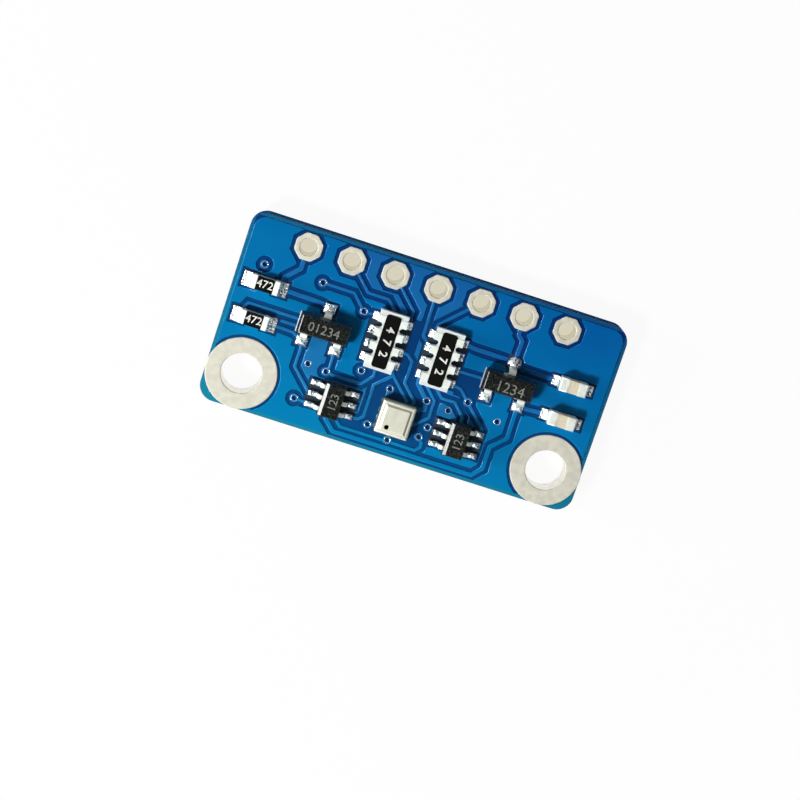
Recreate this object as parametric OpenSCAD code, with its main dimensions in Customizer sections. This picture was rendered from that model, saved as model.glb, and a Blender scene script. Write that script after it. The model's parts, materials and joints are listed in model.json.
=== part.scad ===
// Air-pressure sensor board. A double-sided circuit board carries a row of
// seven header holes, two plated fixing holes, a lidded sensor, a voltage
// regulator, a transistor, two six-lead level shifters, two resistor arrays,
// two resistors and two capacitors. Millimetres. The origin is the middle of
// the underside, +X runs along the board, +Y points to the header row, and
// the parts stand on the +Z face.

/* [Board] */
// Length of the board, along the header row
board_l = 22.2; // [22:0.1:26]
// Width of the board, across the header row
board_w = 11.1; // [11:0.1:13]
// Finished thickness, from copper face to copper face
board_t = 1.6; // [0.8:0.1:2.4]
// Radius of the board's corners
corner_r = 0.95; // [0.4:0.05:1.4]
// Thickness of the copper with the solder mask over it
copper_t = 0.05; // [0.03:0.01:0.08]
// Bare margin between the copper and the edge of the board
edge_margin = 0.2; // [0.1:0.05:0.3]
// Bare gap between two separate coppers
copper_gap = 0.18; // [0.12:0.01:0.22]
// Bare gap between a part's land and the pour round it
land_gap = 0.12; // [0.08:0.01:0.16]
// Bare gap between a fixing hole's ring and the pour round it
ring_gap = 0.14; // [0.1:0.01:0.18]
// Width of a signal trace
trace_w = 0.22; // [0.15:0.01:0.26]
// Width of a supply trace
supply_w = 0.3; // [0.2:0.01:0.34]

/* [Plated holes] */
// Thickness of the copper that lines each hole
plating_t = 0.03; // [0.02:0.005:0.05]
// Spacing of the header holes
pin_pitch = 2.54; // [2.5:0.01:2.6]
// Finished diameter of a header hole
pin_hole_d = 1; // [0.8:0.05:1.15]
// Width of the eight-sided land round a header hole, across its flats
pin_land = 1.55; // [1.4:0.05:1.8]
// Distance from the header row to the edge of the board
pin_edge = 1.1; // [1.1:0.05:1.3]
// Finished diameter of a fixing hole
fix_hole_d = 2.3; // [2:0.1:2.6]
// Outer diameter of the plated ring round a fixing hole
fix_ring_d = 4.1; // [3.4:0.1:4.3]
// Distance from a fixing hole to the two nearest edges of the board
fix_edge = 2.04; // [2:0.02:2.2]
// Finished diameter of a via
via_hole_d = 0.3; // [0.2:0.02:0.32]
// Outer diameter of a via's ring of copper
via_land_d = 0.56; // [0.5:0.02:0.6]

/* [Solder] */
// Thickness of the solder film under a terminal or a lead
film_t = 0.03; // [0.02:0.01:0.06]
// Reach of a solder fillet past the end of a chip
fillet_l = 0.5; // [0.38:0.02:0.54]
// Reach of a solder fillet past the side of an array
array_fillet_l = 0.3; // [0.24:0.02:0.36]
// Length of a land that lies under a chip's terminal
tuck_l = 0.24; // [0.16:0.02:0.3]
// Height that a solder fillet climbs up the end of a chip
fillet_h = 0.3; // [0.2:0.02:0.34]
// Height of the solder bead over a lead's foot
bead_h = 0.12; // [0.06:0.01:0.16]

/* [Chip resistors] */
// Length of a resistor between its outer ends
resistor_l = 1.6; // [1.5:0.05:1.7]
// Width of a resistor
resistor_w = 0.8; // [0.7:0.05:0.9]
// Thickness of a resistor
resistor_t = 0.45; // [0.4:0.05:0.6]
// Length of the metal band at each end of a resistor
resistor_band = 0.3; // [0.2:0.02:0.4]
// Width of a resistor's lands
resistor_land_w = 0.86; // [0.76:0.02:0.96]
// Thickness of a resistor's and an array's terminal metal
terminal_t = 0.03; // [0.02:0.01:0.05]
// Thickness of the black glass coat over the resistive film
coat_t = 0.04; // [0.02:0.01:0.06]

/* [Resistor arrays] */
// Length of an array, along its row of terminals
array_l = 3.4; // [3.2:0.05:3.45]
// Width of an array, across its terminals
array_w = 1.7; // [1.5:0.05:1.75]
// Thickness of an array
array_t = 0.5; // [0.4:0.05:0.6]
// Spacing of an array's terminals
array_pitch = 0.8; // [0.76:0.01:0.82]
// Width of one terminal of an array
array_terminal_w = 0.44; // [0.38:0.02:0.44]
// Width of an array's lands
array_land_w = 0.46; // [0.38:0.02:0.48]
// Width of the black coat on an array
array_coat_w = 0.86; // [0.8:0.02:0.96]
// Bare ceramic between the coat and each end of an array
coat_margin = 0.16; // [0.06:0.01:0.2]
// Radius of the coat's corners
coat_r = 0.14; // [0.04:0.02:0.2]
// Width of the notch between two terminals
notch_w = 0.34; // [0.26:0.02:0.34]
// Depth of the notch between two terminals
notch_depth = 0.34; // [0.24:0.02:0.36]

/* [Capacitors] */
// Length of a capacitor between its outer ends
capacitor_l = 1.6; // [1.5:0.05:1.7]
// Width of a capacitor
capacitor_w = 0.8; // [0.7:0.05:0.9]
// Thickness of a capacitor
capacitor_t = 0.75; // [0.6:0.05:0.9]
// Length of the metal cap at each end of a capacitor
capacitor_band = 0.5; // [0.3:0.02:0.6]
// Thickness of the metal cap
cap_t = 0.02; // [0.02:0.005:0.03]
// Radius of a capacitor's rounded edges
capacitor_r = 0.07; // [0.05:0.01:0.1]
// Width of a capacitor's lands
capacitor_land_w = 0.6; // [0.56:0.02:0.9]
// Reach of a solder fillet past the end of a capacitor
capacitor_fillet_l = 0.4; // [0.34:0.02:0.46]

/* [Three-lead packages] */
// Length of the moulded body
triple_l = 3; // [2.8:0.05:3.05]
// Width of the moulded body
triple_w = 1.3; // [1.2:0.05:1.4]
// Height of the moulded body's top over its leads' feet
triple_t = 1.05; // [0.95:0.05:1.15]
// Set-back of the moulded body's faces from its parting line
triple_draft = 0.15; // [0.08:0.01:0.17]
// Distance between the toes of opposite leads
triple_span = 2.4; // [2.3:0.05:2.5]
// Distance between the two leads on one side
triple_pitch = 1.95; // [1.9:0.05:2]
// Width of a lead
triple_lead_w = 0.42; // [0.35:0.01:0.5]
// Length of a land, along its lead
triple_land_l = 0.6; // [0.5:0.02:0.7]
// Width of a land, across its lead
triple_land_w = 0.7; // [0.6:0.02:0.8]
// Reach of a land past its lead's toe
triple_toe_l = 0.2; // [0.1:0.02:0.24]
// Diameter of the round land under the regulator's lone lead
tab_d = 0.82; // [0.7:0.02:0.86]

/* [Six-lead packages] */
// Length of the moulded body, along its leads' rows
hex_l = 2; // [1.95:0.05:2.1]
// Width of the moulded body
hex_w = 1.25; // [1.15:0.05:1.3]
// Height of the moulded body's top over its leads' feet
hex_t = 0.92; // [0.85:0.01:1]
// Set-back of the moulded body's faces from its parting line
hex_draft = 0.08; // [0.04:0.01:0.1]
// Width of the bevel along the first lead's side of the body
bevel_w = 0.15; // [0.1:0.01:0.16]
// Height of that bevel
bevel_h = 0.12; // [0.08:0.01:0.14]
// Distance between the toes of opposite leads
hex_span = 2.2; // [2.1:0.05:2.3]
// Spacing of the leads on one side
hex_pitch = 0.65; // [0.6:0.01:0.68]
// Width of a lead
hex_lead_w = 0.24; // [0.2:0.01:0.26]
// Length of a land, along its lead
hex_land_l = 0.6; // [0.5:0.02:0.64]
// Width of a land, across its lead
hex_land_w = 0.32; // [0.28:0.01:0.36]
// Reach of a land past its lead's toe
hex_toe_l = 0.35; // [0.25:0.01:0.37]

/* [Leads and moulding] */
// Thickness of the lead frame
lead_t = 0.12; // [0.1:0.01:0.15]
// Inner radius of a lead's bends
bend_r = 0.08; // [0.05:0.01:0.1]
// Angle of a lead's leg from the level
leg_angle = 78; // [70:1:85]
// Length that a lead reaches into the moulding
embed_l = 0.3; // [0.2:0.02:0.35]
// Straight length of a lead between the moulding and its first bend
stub_l = 0.06; // [0.04:0.01:0.08]
// Gap between a moulded body and the board's lands
standoff = 0.06; // [0.04:0.01:0.1]
// Diameter of the dimple that marks the first lead
dot_d = 0.22; // [0.18:0.02:0.24]
// Distance from the dimple's middle to the moulding's parting line
dot_edge = 0.42; // [0.4:0.01:0.46]
// Depth of the dimple
dot_depth = 0.02; // [0.01:0.01:0.05]

/* [Sensor] */
// Length and width of the sensor
sensor_w = 2; // [1.9:0.05:2.1]
// Height of the sensor
sensor_t = 0.78; // [0.74:0.02:0.9]
// Thickness of the sensor's own base
base_t = 0.22; // [0.18:0.01:0.25]
// Bare edge of the base outside the lid's wall
lid_inset = 0.03; // [0.02:0.01:0.06]
// Thickness of the lid's sheet
lid_wall = 0.08; // [0.06:0.01:0.1]
// Outer radius of the lid's drawn edges
lid_r = 0.12; // [0.11:0.01:0.16]
// Width of the lid's flat rim round its raised middle
lid_rim = 0.2; // [0.16:0.02:0.26]
// Height of the raised middle over the rim
lid_step = 0.07; // [0.04:0.01:0.1]
// Width of the slope between the rim and the raised middle
lid_slope = 0.12; // [0.08:0.01:0.14]
// Diameter of the lid's vent
vent_d = 0.27; // [0.2:0.01:0.32]
// Distance from the lid's middle to its vent, along the board
vent_x = 0.36; // [0.3:0.02:0.42]
// Distance from the lid's middle to its vent, across the board
vent_y = 0.51; // [0.4:0.01:0.56]
// Spacing of the sensor's contacts
contact_pitch = 0.5; // [0.45:0.01:0.52]
// Width and length of a contact
contact_w = 0.3; // [0.2:0.02:0.32]
// Reach of a contact's land past the side of the sensor
contact_out = 0.03; // [0.01:0.01:0.06]
// Width of the pressure-sensing die
die_w = 0.72; // [0.6:0.02:0.76]
// Height of the pressure-sensing die
die_t = 0.26; // [0.2:0.01:0.28]
// Thickness of the die's diaphragm
diaphragm_t = 0.04; // [0.03:0.01:0.06]
// Width of the signal chip beside the die
chip_w = 0.6; // [0.5:0.02:0.62]
// Length of the signal chip
chip_l = 1.3; // [1.1:0.05:1.4]
// Height of the signal chip
chip_t = 0.14; // [0.1:0.01:0.16]
// Gap between the die and the chip
chip_gap = 0.22; // [0.16:0.02:0.26]
// Diameter of a bond wire
wire_d = 0.03; // [0.02:0.005:0.04]
// Spacing of the bond wires
wire_pitch = 0.16; // [0.1:0.01:0.2]
// Distance from a wire's foot to the edge of the silicon under it
wire_edge = 0.08; // [0.05:0.01:0.1]

/* [Hidden] */
$fn = 48;

// Header holes, one land and one node each
pin_count = 7;
// Margin that a cut runs past the faces that it opens
through = 1;
// Height of the parts' seat, on the solder film
seat_z = board_t + film_t;

// Places of the parts' middles. The resistors keep their distance from the
// left edge, the capacitors from the right edge, and the rest from the middle.
RESISTORS = [[1.8 - board_l / 2, 1.74], [1.8 - board_l / 2, -0.34]];
CAPACITORS = [[board_l / 2 - 2.18, 1.6], [board_l / 2 - 2.18, -0.43]];
ARRAYS = [[-1.88, 0.78], [1.43, 0.78]];
TRANSISTOR = [-5.42, 0.42];
REGULATOR = [5.4, 0.57];
SHIFTERS = [[-3.75, -3.34], [3.64, -3.34]];
SENSOR = [-0.03, -3.27];
FIX_Y = fix_edge - board_w / 2;
FIX_X = board_l / 2 - fix_edge;

// Lands are [x, y, length along X, width along Y]
function chip_land(x, y, l, w, side, reach) =
    [x + side * (l / 2 + (reach - tuck_l) / 2), y, reach + tuck_l, w];
function resistor_land(i, side) =
    chip_land(RESISTORS[i].x, RESISTORS[i].y, resistor_l, resistor_land_w, side, fillet_l);
function capacitor_land(i, side) =
    chip_land(CAPACITORS[i].x, CAPACITORS[i].y, capacitor_l, capacitor_land_w, side,
        capacitor_fillet_l);
// Terminals count down the array from 1, at the header end, to 4
function array_land(i, side, k) = chip_land(
    ARRAYS[i].x, ARRAYS[i].y + (2.5 - k) * array_pitch, array_w, array_land_w, side, array_fillet_l);
// Lead 0 is alone on the header side, leads -1 and 1 face away from it
function triple_land(part, k) =
    let (far = triple_span / 2 + triple_toe_l - triple_land_l / 2)
    [part.x + k * triple_pitch / 2, part.y + (k == 0 ? far : -far), triple_land_w, triple_land_l];
// Rows count down from 1 to 3
function hex_land(i, side, k) = [
    SHIFTERS[i].x + side * (hex_span / 2 + hex_toe_l - hex_land_l / 2),
    SHIFTERS[i].y + (2 - k) * hex_pitch, hex_land_l, hex_land_w];
function contact(side, k) = [
    SENSOR.x + side * (sensor_w / 2 - contact_w / 2 + contact_out),
    SENSOR.y + (2.5 - k) * contact_pitch, contact_w, contact_w];
function pin(i) = [(i - (pin_count + 1) / 2) * pin_pitch, board_w / 2 - pin_edge];
function xy(land) = [land[0], land[1]];

LANDS = [
    for (i = [0, 1], s = [-1, 1]) resistor_land(i, s),
    for (i = [0, 1], s = [-1, 1]) capacitor_land(i, s),
    for (i = [0, 1], s = [-1, 1], k = [1:4]) array_land(i, s, k),
    for (k = [-1:1]) triple_land(TRANSISTOR, k),
    for (k = [-1, 1]) triple_land(REGULATOR, k),
    for (i = [0, 1], s = [-1, 1], k = [1:3]) hex_land(i, s, k),
    for (s = [-1, 1], k = [1:4]) contact(s, k)
];
// The regulator's tab lead sits on a round land
TAB = [REGULATOR.x, REGULATOR.y + triple_span / 2];

// Vias in a signal, each with a bare ring round it
VIA = [
    [-6.25, 2.8], [-3.58, 1.97], [-5.8, -3.93], [-4.55, -1.95], [-2.68, -1.28], [-0.8, -1.77],
    [1.38, -1.8], [3.62, -1.15], [1.9, -3.22], [1.6, -3.9], [-1.4, -4.1], [-0.05, -4.62],
    [-9.65, 2.78]];
// Vias that tie the two pours together
POUR_VIAS = [[-5.65, -1.83], [2.72, -1.95], [5.55, -1.7]];

// Each trace is [width, points]
TOP_TRACES = [
    [supply_w, [pin(1), [-7.66, 3.15], xy(resistor_land(0, 1)) + [0, 0.7], xy(resistor_land(0, 1))]],
    [supply_w, [xy(resistor_land(0, 1)), [-6, 1.7], xy(triple_land(TRANSISTOR, 0))]],
    [trace_w, [VIA[0], [-4.4, 2.8], VIA[1], xy(array_land(0, -1, 1))]],
    [trace_w, [pin(2), [-3.68, 3.05], [-2.45, 3.05], [-1.93, 2.53], [-1.93, -1.42],
        [-2.5, -2.02], [-4.1, -2.02], VIA[3]]],
    [trace_w, [pin(3), [-0.9, 2.81], xy(array_land(0, 1, 1))]],
    [trace_w, [pin(4), [0, 1.72], xy(array_land(1, -1, 2))]],
    [trace_w, [pin(5), [0.62, 2.53], xy(array_land(1, -1, 1))]],
    [supply_w, [pin(6), [5.12, 3.4], [5.42, 3.1], TAB]],
    [supply_w, [xy(array_land(1, 1, 1)), [3, 1.88], [5, 1.88], TAB]],
    [supply_w, [TAB, [5.9, 1.6], xy(capacitor_land(0, -1))]],
    [trace_w, [xy(array_land(1, 1, 3)), [3.85, 0.42], [4.4, -0.1],
        xy(triple_land(REGULATOR, -1))]],
    [supply_w, [xy(triple_land(REGULATOR, 1)), xy(capacitor_land(1, -1))]],
    [supply_w, [xy(triple_land(REGULATOR, 1)), [6.4, -2.45], [5.62, -3.23], [5.62, -4.55],
        [5.1, -5.08], [-3.15, -5.08], [-3.75, -4.5], SHIFTERS[0]]],
    [trace_w, [xy(array_land(1, 1, 4)), [3, -0.55], VIA[7], [4.9, -2.42], xy(hex_land(1, 1, 1))]],
    [trace_w, [[1.5, -0.4], [1.5, -0.75], [2.12, -1.37], [2.92, -1.37], [3.64, -2.1],
        SHIFTERS[1], xy(hex_land(1, 1, 2))]],
    [trace_w, [[1, -0.4], [1, -0.85], [1.8, -1.65], [1.8, -2.7], xy(contact(1, 3))]],
    [supply_w, [xy(array_land(1, -1, 4)), [0.62, -1.02], VIA[6], [1.4, -2.3],
        xy(contact(1, 1))]],
    [trace_w, [xy(array_land(0, 1, 4)), [-0.95, -1.05], [-1.75, -1.85], [-1.75, -3.75],
        [-2.02, -3.99], xy(hex_land(0, 1, 3))]],
    [trace_w, [xy(array_land(0, 1, 4)), [-0.95, -0.9], [0.3, -2.15], [0.3, -2.9]]],
    [trace_w, [xy(array_land(0, 1, 3)), [-0.46, 0.4], [-0.12, 0.06], [-0.12, -1.2],
        [0.72, -2.04], [0.72, -2.3]]],
    [trace_w, [xy(triple_land(TRANSISTOR, -1)), [-6.3, -1], [-6.3, -2.2], [-5.22, -3.28],
        xy(hex_land(0, -1, 2))]],
    [trace_w, [VIA[2], xy(hex_land(0, -1, 3))]],
    [trace_w, [xy(triple_land(TRANSISTOR, 1)), [-4.42, -1.75], VIA[3]]],
    [trace_w, [xy(resistor_land(1, 1)), [-7, -0.38], xy(triple_land(TRANSISTOR, -1))]],
    [trace_w, [xy(resistor_land(1, -1)), xy(resistor_land(1, -1)) + [0.35, 0.78],
        [-4.9, 0.44], xy(triple_land(TRANSISTOR, 1))]],
    [trace_w, [VIA[9], [1.86, -4.2], [1.86, -4.46], [1.6, -4.7], [-2.86, -4.7],
        [-3.2, -4.36], [-3.2, -3.9], SHIFTERS[0]]],
    [trace_w, [xy(contact(-1, 4)), VIA[10]]],
    [trace_w, [xy(contact(-1, 1)), VIA[5]]],
    [trace_w, [VIA[11], [-0.05, -3.6]]]
];
BOTTOM_TRACES = [
    [trace_w, [VIA[0], [-6.25, -3.48], VIA[2]]],
    [trace_w, [VIA[1], [-3.58, -0.38], VIA[4]]],
    [trace_w, [VIA[3], [-4.55, 3.92], pin(2)]],
    [trace_w, [VIA[5], [-0.8, 2.71], pin(3)]],
    [trace_w, [VIA[6], [1.38, 3.29], pin(5)]],
    [supply_w, [VIA[7], [3.62, 2.99], pin(6)]],
    [trace_w, [VIA[8], [3.05, -4.37], [6.4, -4.37], [7.62, -3.15], pin(7)]],
    [trace_w, [VIA[10], VIA[11], [0.88, -4.62], VIA[9]]],
    [supply_w, [VIA[12], [-7.98, pin(1).y], pin(1)]]
];
// Areas of the top face without copper, as [x0, y0, x1, y1]
BARE = [
    [2.7, -0.95, 4, 0.35], [2.2, -0.62, 2.72, 2.2], [-1.12, -0.62, -0.15, 2.4],
    [0.15, -0.9, 0.6, 2.2], [-3.15, -0.62, -2.7, 2.2], [-1.55, -4.25, -1.05, -1.7],
    [1.1, -4.2, 2.25, -2.4], [-2.7, -0.85, -1.1, 2.35], [0.6, -0.85, 2.25, 2.35],
    [-5.2, -4.25, -2.35, -2.45], [2.2, -4.25, 5.1, -2.45], [-1.1, -4.3, 1.1, -2.25],
    [-2.55, -1.4, -2.15, -0.8], [-1.7, -1.4, -1.2, -0.8], [-0.7, -1.05, -0.35, 0.15],
    [0.1, -1.9, 1, -0.85], [-0.6, -2.3, 0.05, -1.85], [0.98, -2.13, 1.06, -2.04],
    [-2.9, -4.45, 1.7, -4.15]];

// Unit vector from one point to the next, and its left-hand normal
function toward(a, b) = (b - a) / norm(b - a);
function left_of(d) = [-d.y, d.x];
// Vector from a point of a path to the left side of a band of half width h
function side_step(path, i, h) =
    let (last = len(path) - 1,
         d0 = toward(path[max(i - 1, 0)], path[max(i, 1)]),
         d1 = toward(path[min(i, last - 1)], path[min(i + 1, last)]))
    h * (left_of(d0) + left_of(d1)) / (1 + d0 * d1);
// Outline of a band of even width along a path, with mitred corners
function band(path, w) = concat(
    [for (i = [0:len(path) - 1]) path[i] + side_step(path, i, w / 2)],
    [for (i = [len(path) - 1:-1:0]) path[i] - side_step(path, i, w / 2)]);
// Points along an arc
function arc(c, r, from, to, steps) =
    [for (i = [0:steps]) let (a = from + (to - from) * i / steps) c + r * [cos(a), sin(a)]];

// Rectangle with round corners
module round_rect(l, w, r) {
    square([l - 2 * r, w], center = true);
    square([l, w - 2 * r], center = true);
    for (x = [-1, 1], y = [-1, 1]) {
        translate([x * (l / 2 - r), y * (w / 2 - r)]) circle(r = r);
    }
}

// Block with every edge rounded, standing on the XY plane
module soft_block(l, w, h, r) {
    intersection() {
        linear_extrude(h) round_rect(l, w, r);
        translate([0, w / 2, h / 2]) rotate([90, 0, 0]) linear_extrude(w) round_rect(l, h, r);
        translate([-l / 2, 0, h / 2]) rotate([90, 0, 90]) linear_extrude(l) round_rect(w, h, r);
    }
}

// Part of a disc cut off by a chord of length c, standing h high on it
module segment(c, h) {
    r = (c * c / 4 + h * h) / (2 * h);
    intersection() {
        translate([0, h - r]) circle(r = r);
        translate([-c / 2, 0]) square([c, h]);
    }
}

// Low bead that is arched both ways
module bead(l, w, h) {
    intersection() {
        translate([0, w / 2, 0]) rotate([90, 0, 0]) linear_extrude(w) segment(l, h);
        translate([-l / 2, 0, 0]) rotate([90, 0, 90]) linear_extrude(l) segment(w, h);
    }
}

module outline(inset = 0) {
    round_rect(board_l - 2 * inset, board_w - 2 * inset, corner_r - inset);
}

module octagon(across) {
    rotate(180 / 8) circle(d = across / cos(180 / 8), $fn = 8);
}

module traces(list, grow = 0) {
    for (t = list) polygon(band(t[1], t[0] + 2 * grow));
}

module part_lands(grow = 0) {
    for (a = LANDS) translate(xy(a)) square([a[2] + 2 * grow, a[3] + 2 * grow], center = true);
    translate(TAB) circle(d = tab_d + 2 * grow);
}

module hole_lands(pad_grow = 0, ring_grow = 0) {
    for (i = [1:pin_count]) translate(pin(i)) octagon(pin_land + 2 * pad_grow);
    for (s = [-1, 1]) translate([s * FIX_X, FIX_Y]) circle(d = fix_ring_d + 2 * ring_grow);
}

module via_circles(places, d) {
    for (p = places) translate(p) circle(d = d);
}

// Pour and traces of one face, before the lands are cut out of them. The
// corners beyond the fixing holes stay bare.
module copper_plan(list) {
    difference() {
        outline(edge_margin);
        traces(list, copper_gap);
        via_circles(VIA, via_land_d + 2 * copper_gap);
        hole_lands(copper_gap, ring_gap);
        for (s = [0, 1]) mirror([s, 0]) translate([FIX_X, FIX_Y - fix_edge]) square(fix_edge);
        children();
    }
    traces(list);
    via_circles(VIA, via_land_d);
}

module via_bores() {
    via_circles(concat(VIA, POUR_VIAS), via_hole_d + 2 * plating_t);
}

module laminate() {
    color("midnightblue")
    translate([0, 0, copper_t])
    linear_extrude(board_t - 2 * copper_t)
    difference() {
        outline();
        via_bores();
        for (i = [1:pin_count]) translate(pin(i)) circle(d = pin_hole_d + 2 * plating_t);
        for (s = [-1, 1]) translate([s * FIX_X, FIX_Y]) circle(d = fix_hole_d + 2 * plating_t);
    }
}

module top_copper() {
    color("dodgerblue")
    translate([0, 0, board_t - copper_t])
    linear_extrude(copper_t)
    difference() {
        copper_plan(TOP_TRACES) {
            part_lands(land_gap);
            for (b = BARE) translate([b[0], b[1]]) square([b[2] - b[0], b[3] - b[1]]);
        }
        part_lands();
        hole_lands();
        via_bores();
    }
}

module bottom_copper() {
    color("dodgerblue")
    linear_extrude(copper_t)
    difference() {
        copper_plan(BOTTOM_TRACES);
        hole_lands();
        via_bores();
    }
}

// Tubes of copper that join the two faces
module via_barrels() {
    color("royalblue")
    for (p = concat(VIA, POUR_VIAS)) translate([p.x, p.y, 0]) difference() {
        cylinder(d = via_hole_d + 2 * plating_t, h = board_t);
        translate([0, 0, -through]) cylinder(d = via_hole_d, h = board_t + 2 * through);
    }
}

// Barrel with a flat land at each face; the land is drawn by the children
module plated_hole(place, hole_d) {
    color("gainsboro")
    difference() {
        union() {
            linear_extrude(copper_t) children();
            translate([0, 0, board_t - copper_t]) linear_extrude(copper_t) children();
            translate(place) cylinder(d = hole_d + 2 * plating_t, h = board_t);
        }
        translate([place.x, place.y, -through]) cylinder(d = hole_d, h = board_t + 2 * through);
    }
}

module header_pad(i) {
    plated_hole(pin(i), pin_hole_d) translate(pin(i)) octagon(pin_land);
}

// The ring is cut back where it would pass the edge of the board
module fixing_ring(side) {
    plated_hole([side * FIX_X, FIX_Y], fix_hole_d) intersection() {
        translate([side * FIX_X, FIX_Y]) circle(d = fix_ring_d);
        outline();
    }
}

// Metal that clasps the end of a chip: end face, and a band above and below
module clasp(band_l, w, t) {
    translate([0, w / 2, 0]) rotate([90, 0, 0]) linear_extrude(w) difference() {
        square([band_l, t]);
        translate([-through, terminal_t]) square([band_l - terminal_t + through, t - 2 * terminal_t]);
    }
}

module on_board(place) {
    translate([place.x, place.y, seat_z]) children();
}

module resistor_ceramic(i) {
    l = resistor_l - 2 * terminal_t;
    color("whitesmoke")
    on_board(RESISTORS[i]) translate([-l / 2, -resistor_w / 2, terminal_t])
        cube([l, resistor_w, resistor_t - 2 * terminal_t]);
}

module resistor_coat(i) {
    l = resistor_l - 2 * resistor_band;
    color("black")
    on_board(RESISTORS[i]) translate([-l / 2, -resistor_w / 2, resistor_t - terminal_t])
        cube([l, resistor_w, coat_t]);
}

module resistor_terminals(i) {
    color("silver")
    on_board(RESISTORS[i]) for (s = [0, 1]) mirror([s, 0, 0])
        translate([resistor_l / 2 - resistor_band, 0, 0]) clasp(resistor_band, resistor_w, resistor_t);
}

// Land, film and fillet at one end of a chip whose end face stands at end_x
// from the land's middle, towards +X
module end_joint(land, side, end_x) {
    reach = land[2] / 2 - end_x;
    hollow_r = (reach * reach + fillet_h * fillet_h) / (2 * fillet_h);
    translate([land[0], land[1], board_t]) mirror([side < 0 ? 1 : 0, 0, 0]) {
        translate([-land[2] / 2, -land[3] / 2, -copper_t])
            cube([land[2], land[3], copper_t + film_t]);
        translate([end_x, land[3] / 2, film_t]) rotate([90, 0, 0])
            linear_extrude(land[3]) difference() {
                square([reach, fillet_h]);
                translate([reach, hollow_r]) circle(r = hollow_r);
            }
    }
}

module resistor_solder(i) {
    color("lightgray")
    for (s = [-1, 1]) {
        land = resistor_land(i, s);
        end_joint(land, s, resistor_l / 2 - abs(RESISTORS[i].x - land[0]));
    }
}

// Ceramic with a slot between neighbouring terminals, on both long sides
module array_ceramic(i) {
    w = array_w - 2 * terminal_t;
    color("whitesmoke")
    on_board(ARRAYS[i]) translate([0, 0, terminal_t])
    linear_extrude(array_t - 2 * terminal_t)
    difference() {
        square([w, array_l], center = true);
        for (s = [-1, 1], k = [-1:1]) translate([s * (array_w / 2), k * array_pitch]) {
            square([2 * (notch_depth - notch_w / 2), notch_w], center = true);
            translate([-s * (notch_depth - notch_w / 2), 0]) circle(d = notch_w);
        }
    }
}

module array_coat(i) {
    color("black")
    on_board(ARRAYS[i]) translate([0, 0, array_t - terminal_t])
        linear_extrude(coat_t) round_rect(array_coat_w, array_l - 2 * coat_margin, coat_r);
}

module array_terminals(i) {
    color("silver")
    on_board(ARRAYS[i]) for (s = [0, 1], k = [1:4]) mirror([s, 0, 0])
        translate([array_coat_w / 2, (2.5 - k) * array_pitch, 0])
            clasp((array_w - array_coat_w) / 2, array_terminal_w, array_t);
}

module array_solder(i) {
    color("lightgray")
    for (s = [-1, 1], k = [1:4]) {
        land = array_land(i, s, k);
        end_joint(land, s, array_w / 2 - abs(ARRAYS[i].x - land[0]));
    }
}

module capacitor_ceramic(i) {
    color("tan")
    on_board(CAPACITORS[i]) translate([0, 0, cap_t]) soft_block(capacitor_l - 2 * cap_t,
        capacitor_w - 2 * cap_t, capacitor_t - 2 * cap_t, capacitor_r - cap_t);
}

module capacitor_caps(i) {
    color("silver")
    on_board(CAPACITORS[i]) difference() {
        soft_block(capacitor_l, capacitor_w, capacitor_t, capacitor_r);
        translate([0, 0, capacitor_t / 2]) cube(
            [capacitor_l - 2 * capacitor_band, capacitor_w + through, capacitor_t + through],
            center = true);
        translate([0, 0, cap_t]) soft_block(capacitor_l - 2 * cap_t,
            capacitor_w - 2 * cap_t, capacitor_t - 2 * cap_t, capacitor_r - cap_t);
    }
}

module capacitor_solder(i) {
    color("lightgray")
    for (s = [-1, 1]) {
        land = capacitor_land(i, s);
        end_joint(land, s, capacitor_l / 2 - abs(CAPACITORS[i].x - land[0]));
    }
}

// Side view of a moulding: it is widest at its parting line
function mould_profile(w, h, part_z, draft) = [
    [draft - w / 2, 0], [w / 2 - draft, 0], [w / 2, part_z],
    [w / 2 - draft, h], [draft - w / 2, h], [-w / 2, part_z]];

// Moulded body, long along X, with drafted sides
module moulding(l, w, h, part_z, draft) {
    intersection() {
        translate([0, w / 2, 0]) rotate([90, 0, 0]) linear_extrude(w)
            polygon(mould_profile(l, h, part_z, draft));
        translate([-l / 2, 0, 0]) rotate([90, 0, 90]) linear_extrude(l)
            polygon(mould_profile(w, h, part_z, draft));
    }
}

// Side view of a lead, from inside the body to its toe
function lead_path(body_w, span, exit_z) =
    let (r = bend_r + lead_t / 2,
         a = leg_angle,
         foot_z = lead_t / 2,
         leg = (exit_z - foot_z - 2 * r + 2 * r * cos(a)) / sin(a),
         top = [body_w / 2 + stub_l, exit_z - r],
         low = [top.x + 2 * r * sin(a) + leg * cos(a), foot_z + r])
    concat([[body_w / 2 - embed_l, exit_z]],
        arc(top, r, 90, 90 - a, 3), arc(low, r, 270 - a, 270, 3),
        [[span / 2, foot_z]]);

// Gull-wing lead towards +Y
module lead(body_w, span, exit_z, w) {
    translate([-w / 2, 0, 0]) rotate([90, 0, 90]) linear_extrude(w)
        polygon(band(lead_path(body_w, span, exit_z), lead_t));
}

// Leads leave the moulding at its parting line
triple_exit = triple_t / 2;
hex_exit = hex_t / 2;

module triple_frame() {
    lead(triple_w, triple_span, triple_exit, triple_lead_w);
    for (s = [-1, 1]) translate([s * triple_pitch / 2, 0, 0]) rotate(180)
        lead(triple_w, triple_span, triple_exit, triple_lead_w);
}

module triple_body() {
    difference() {
        translate([0, 0, standoff])
            moulding(triple_l, triple_w, triple_t - standoff, triple_exit - standoff, triple_draft);
        triple_frame();
    }
}

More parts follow.
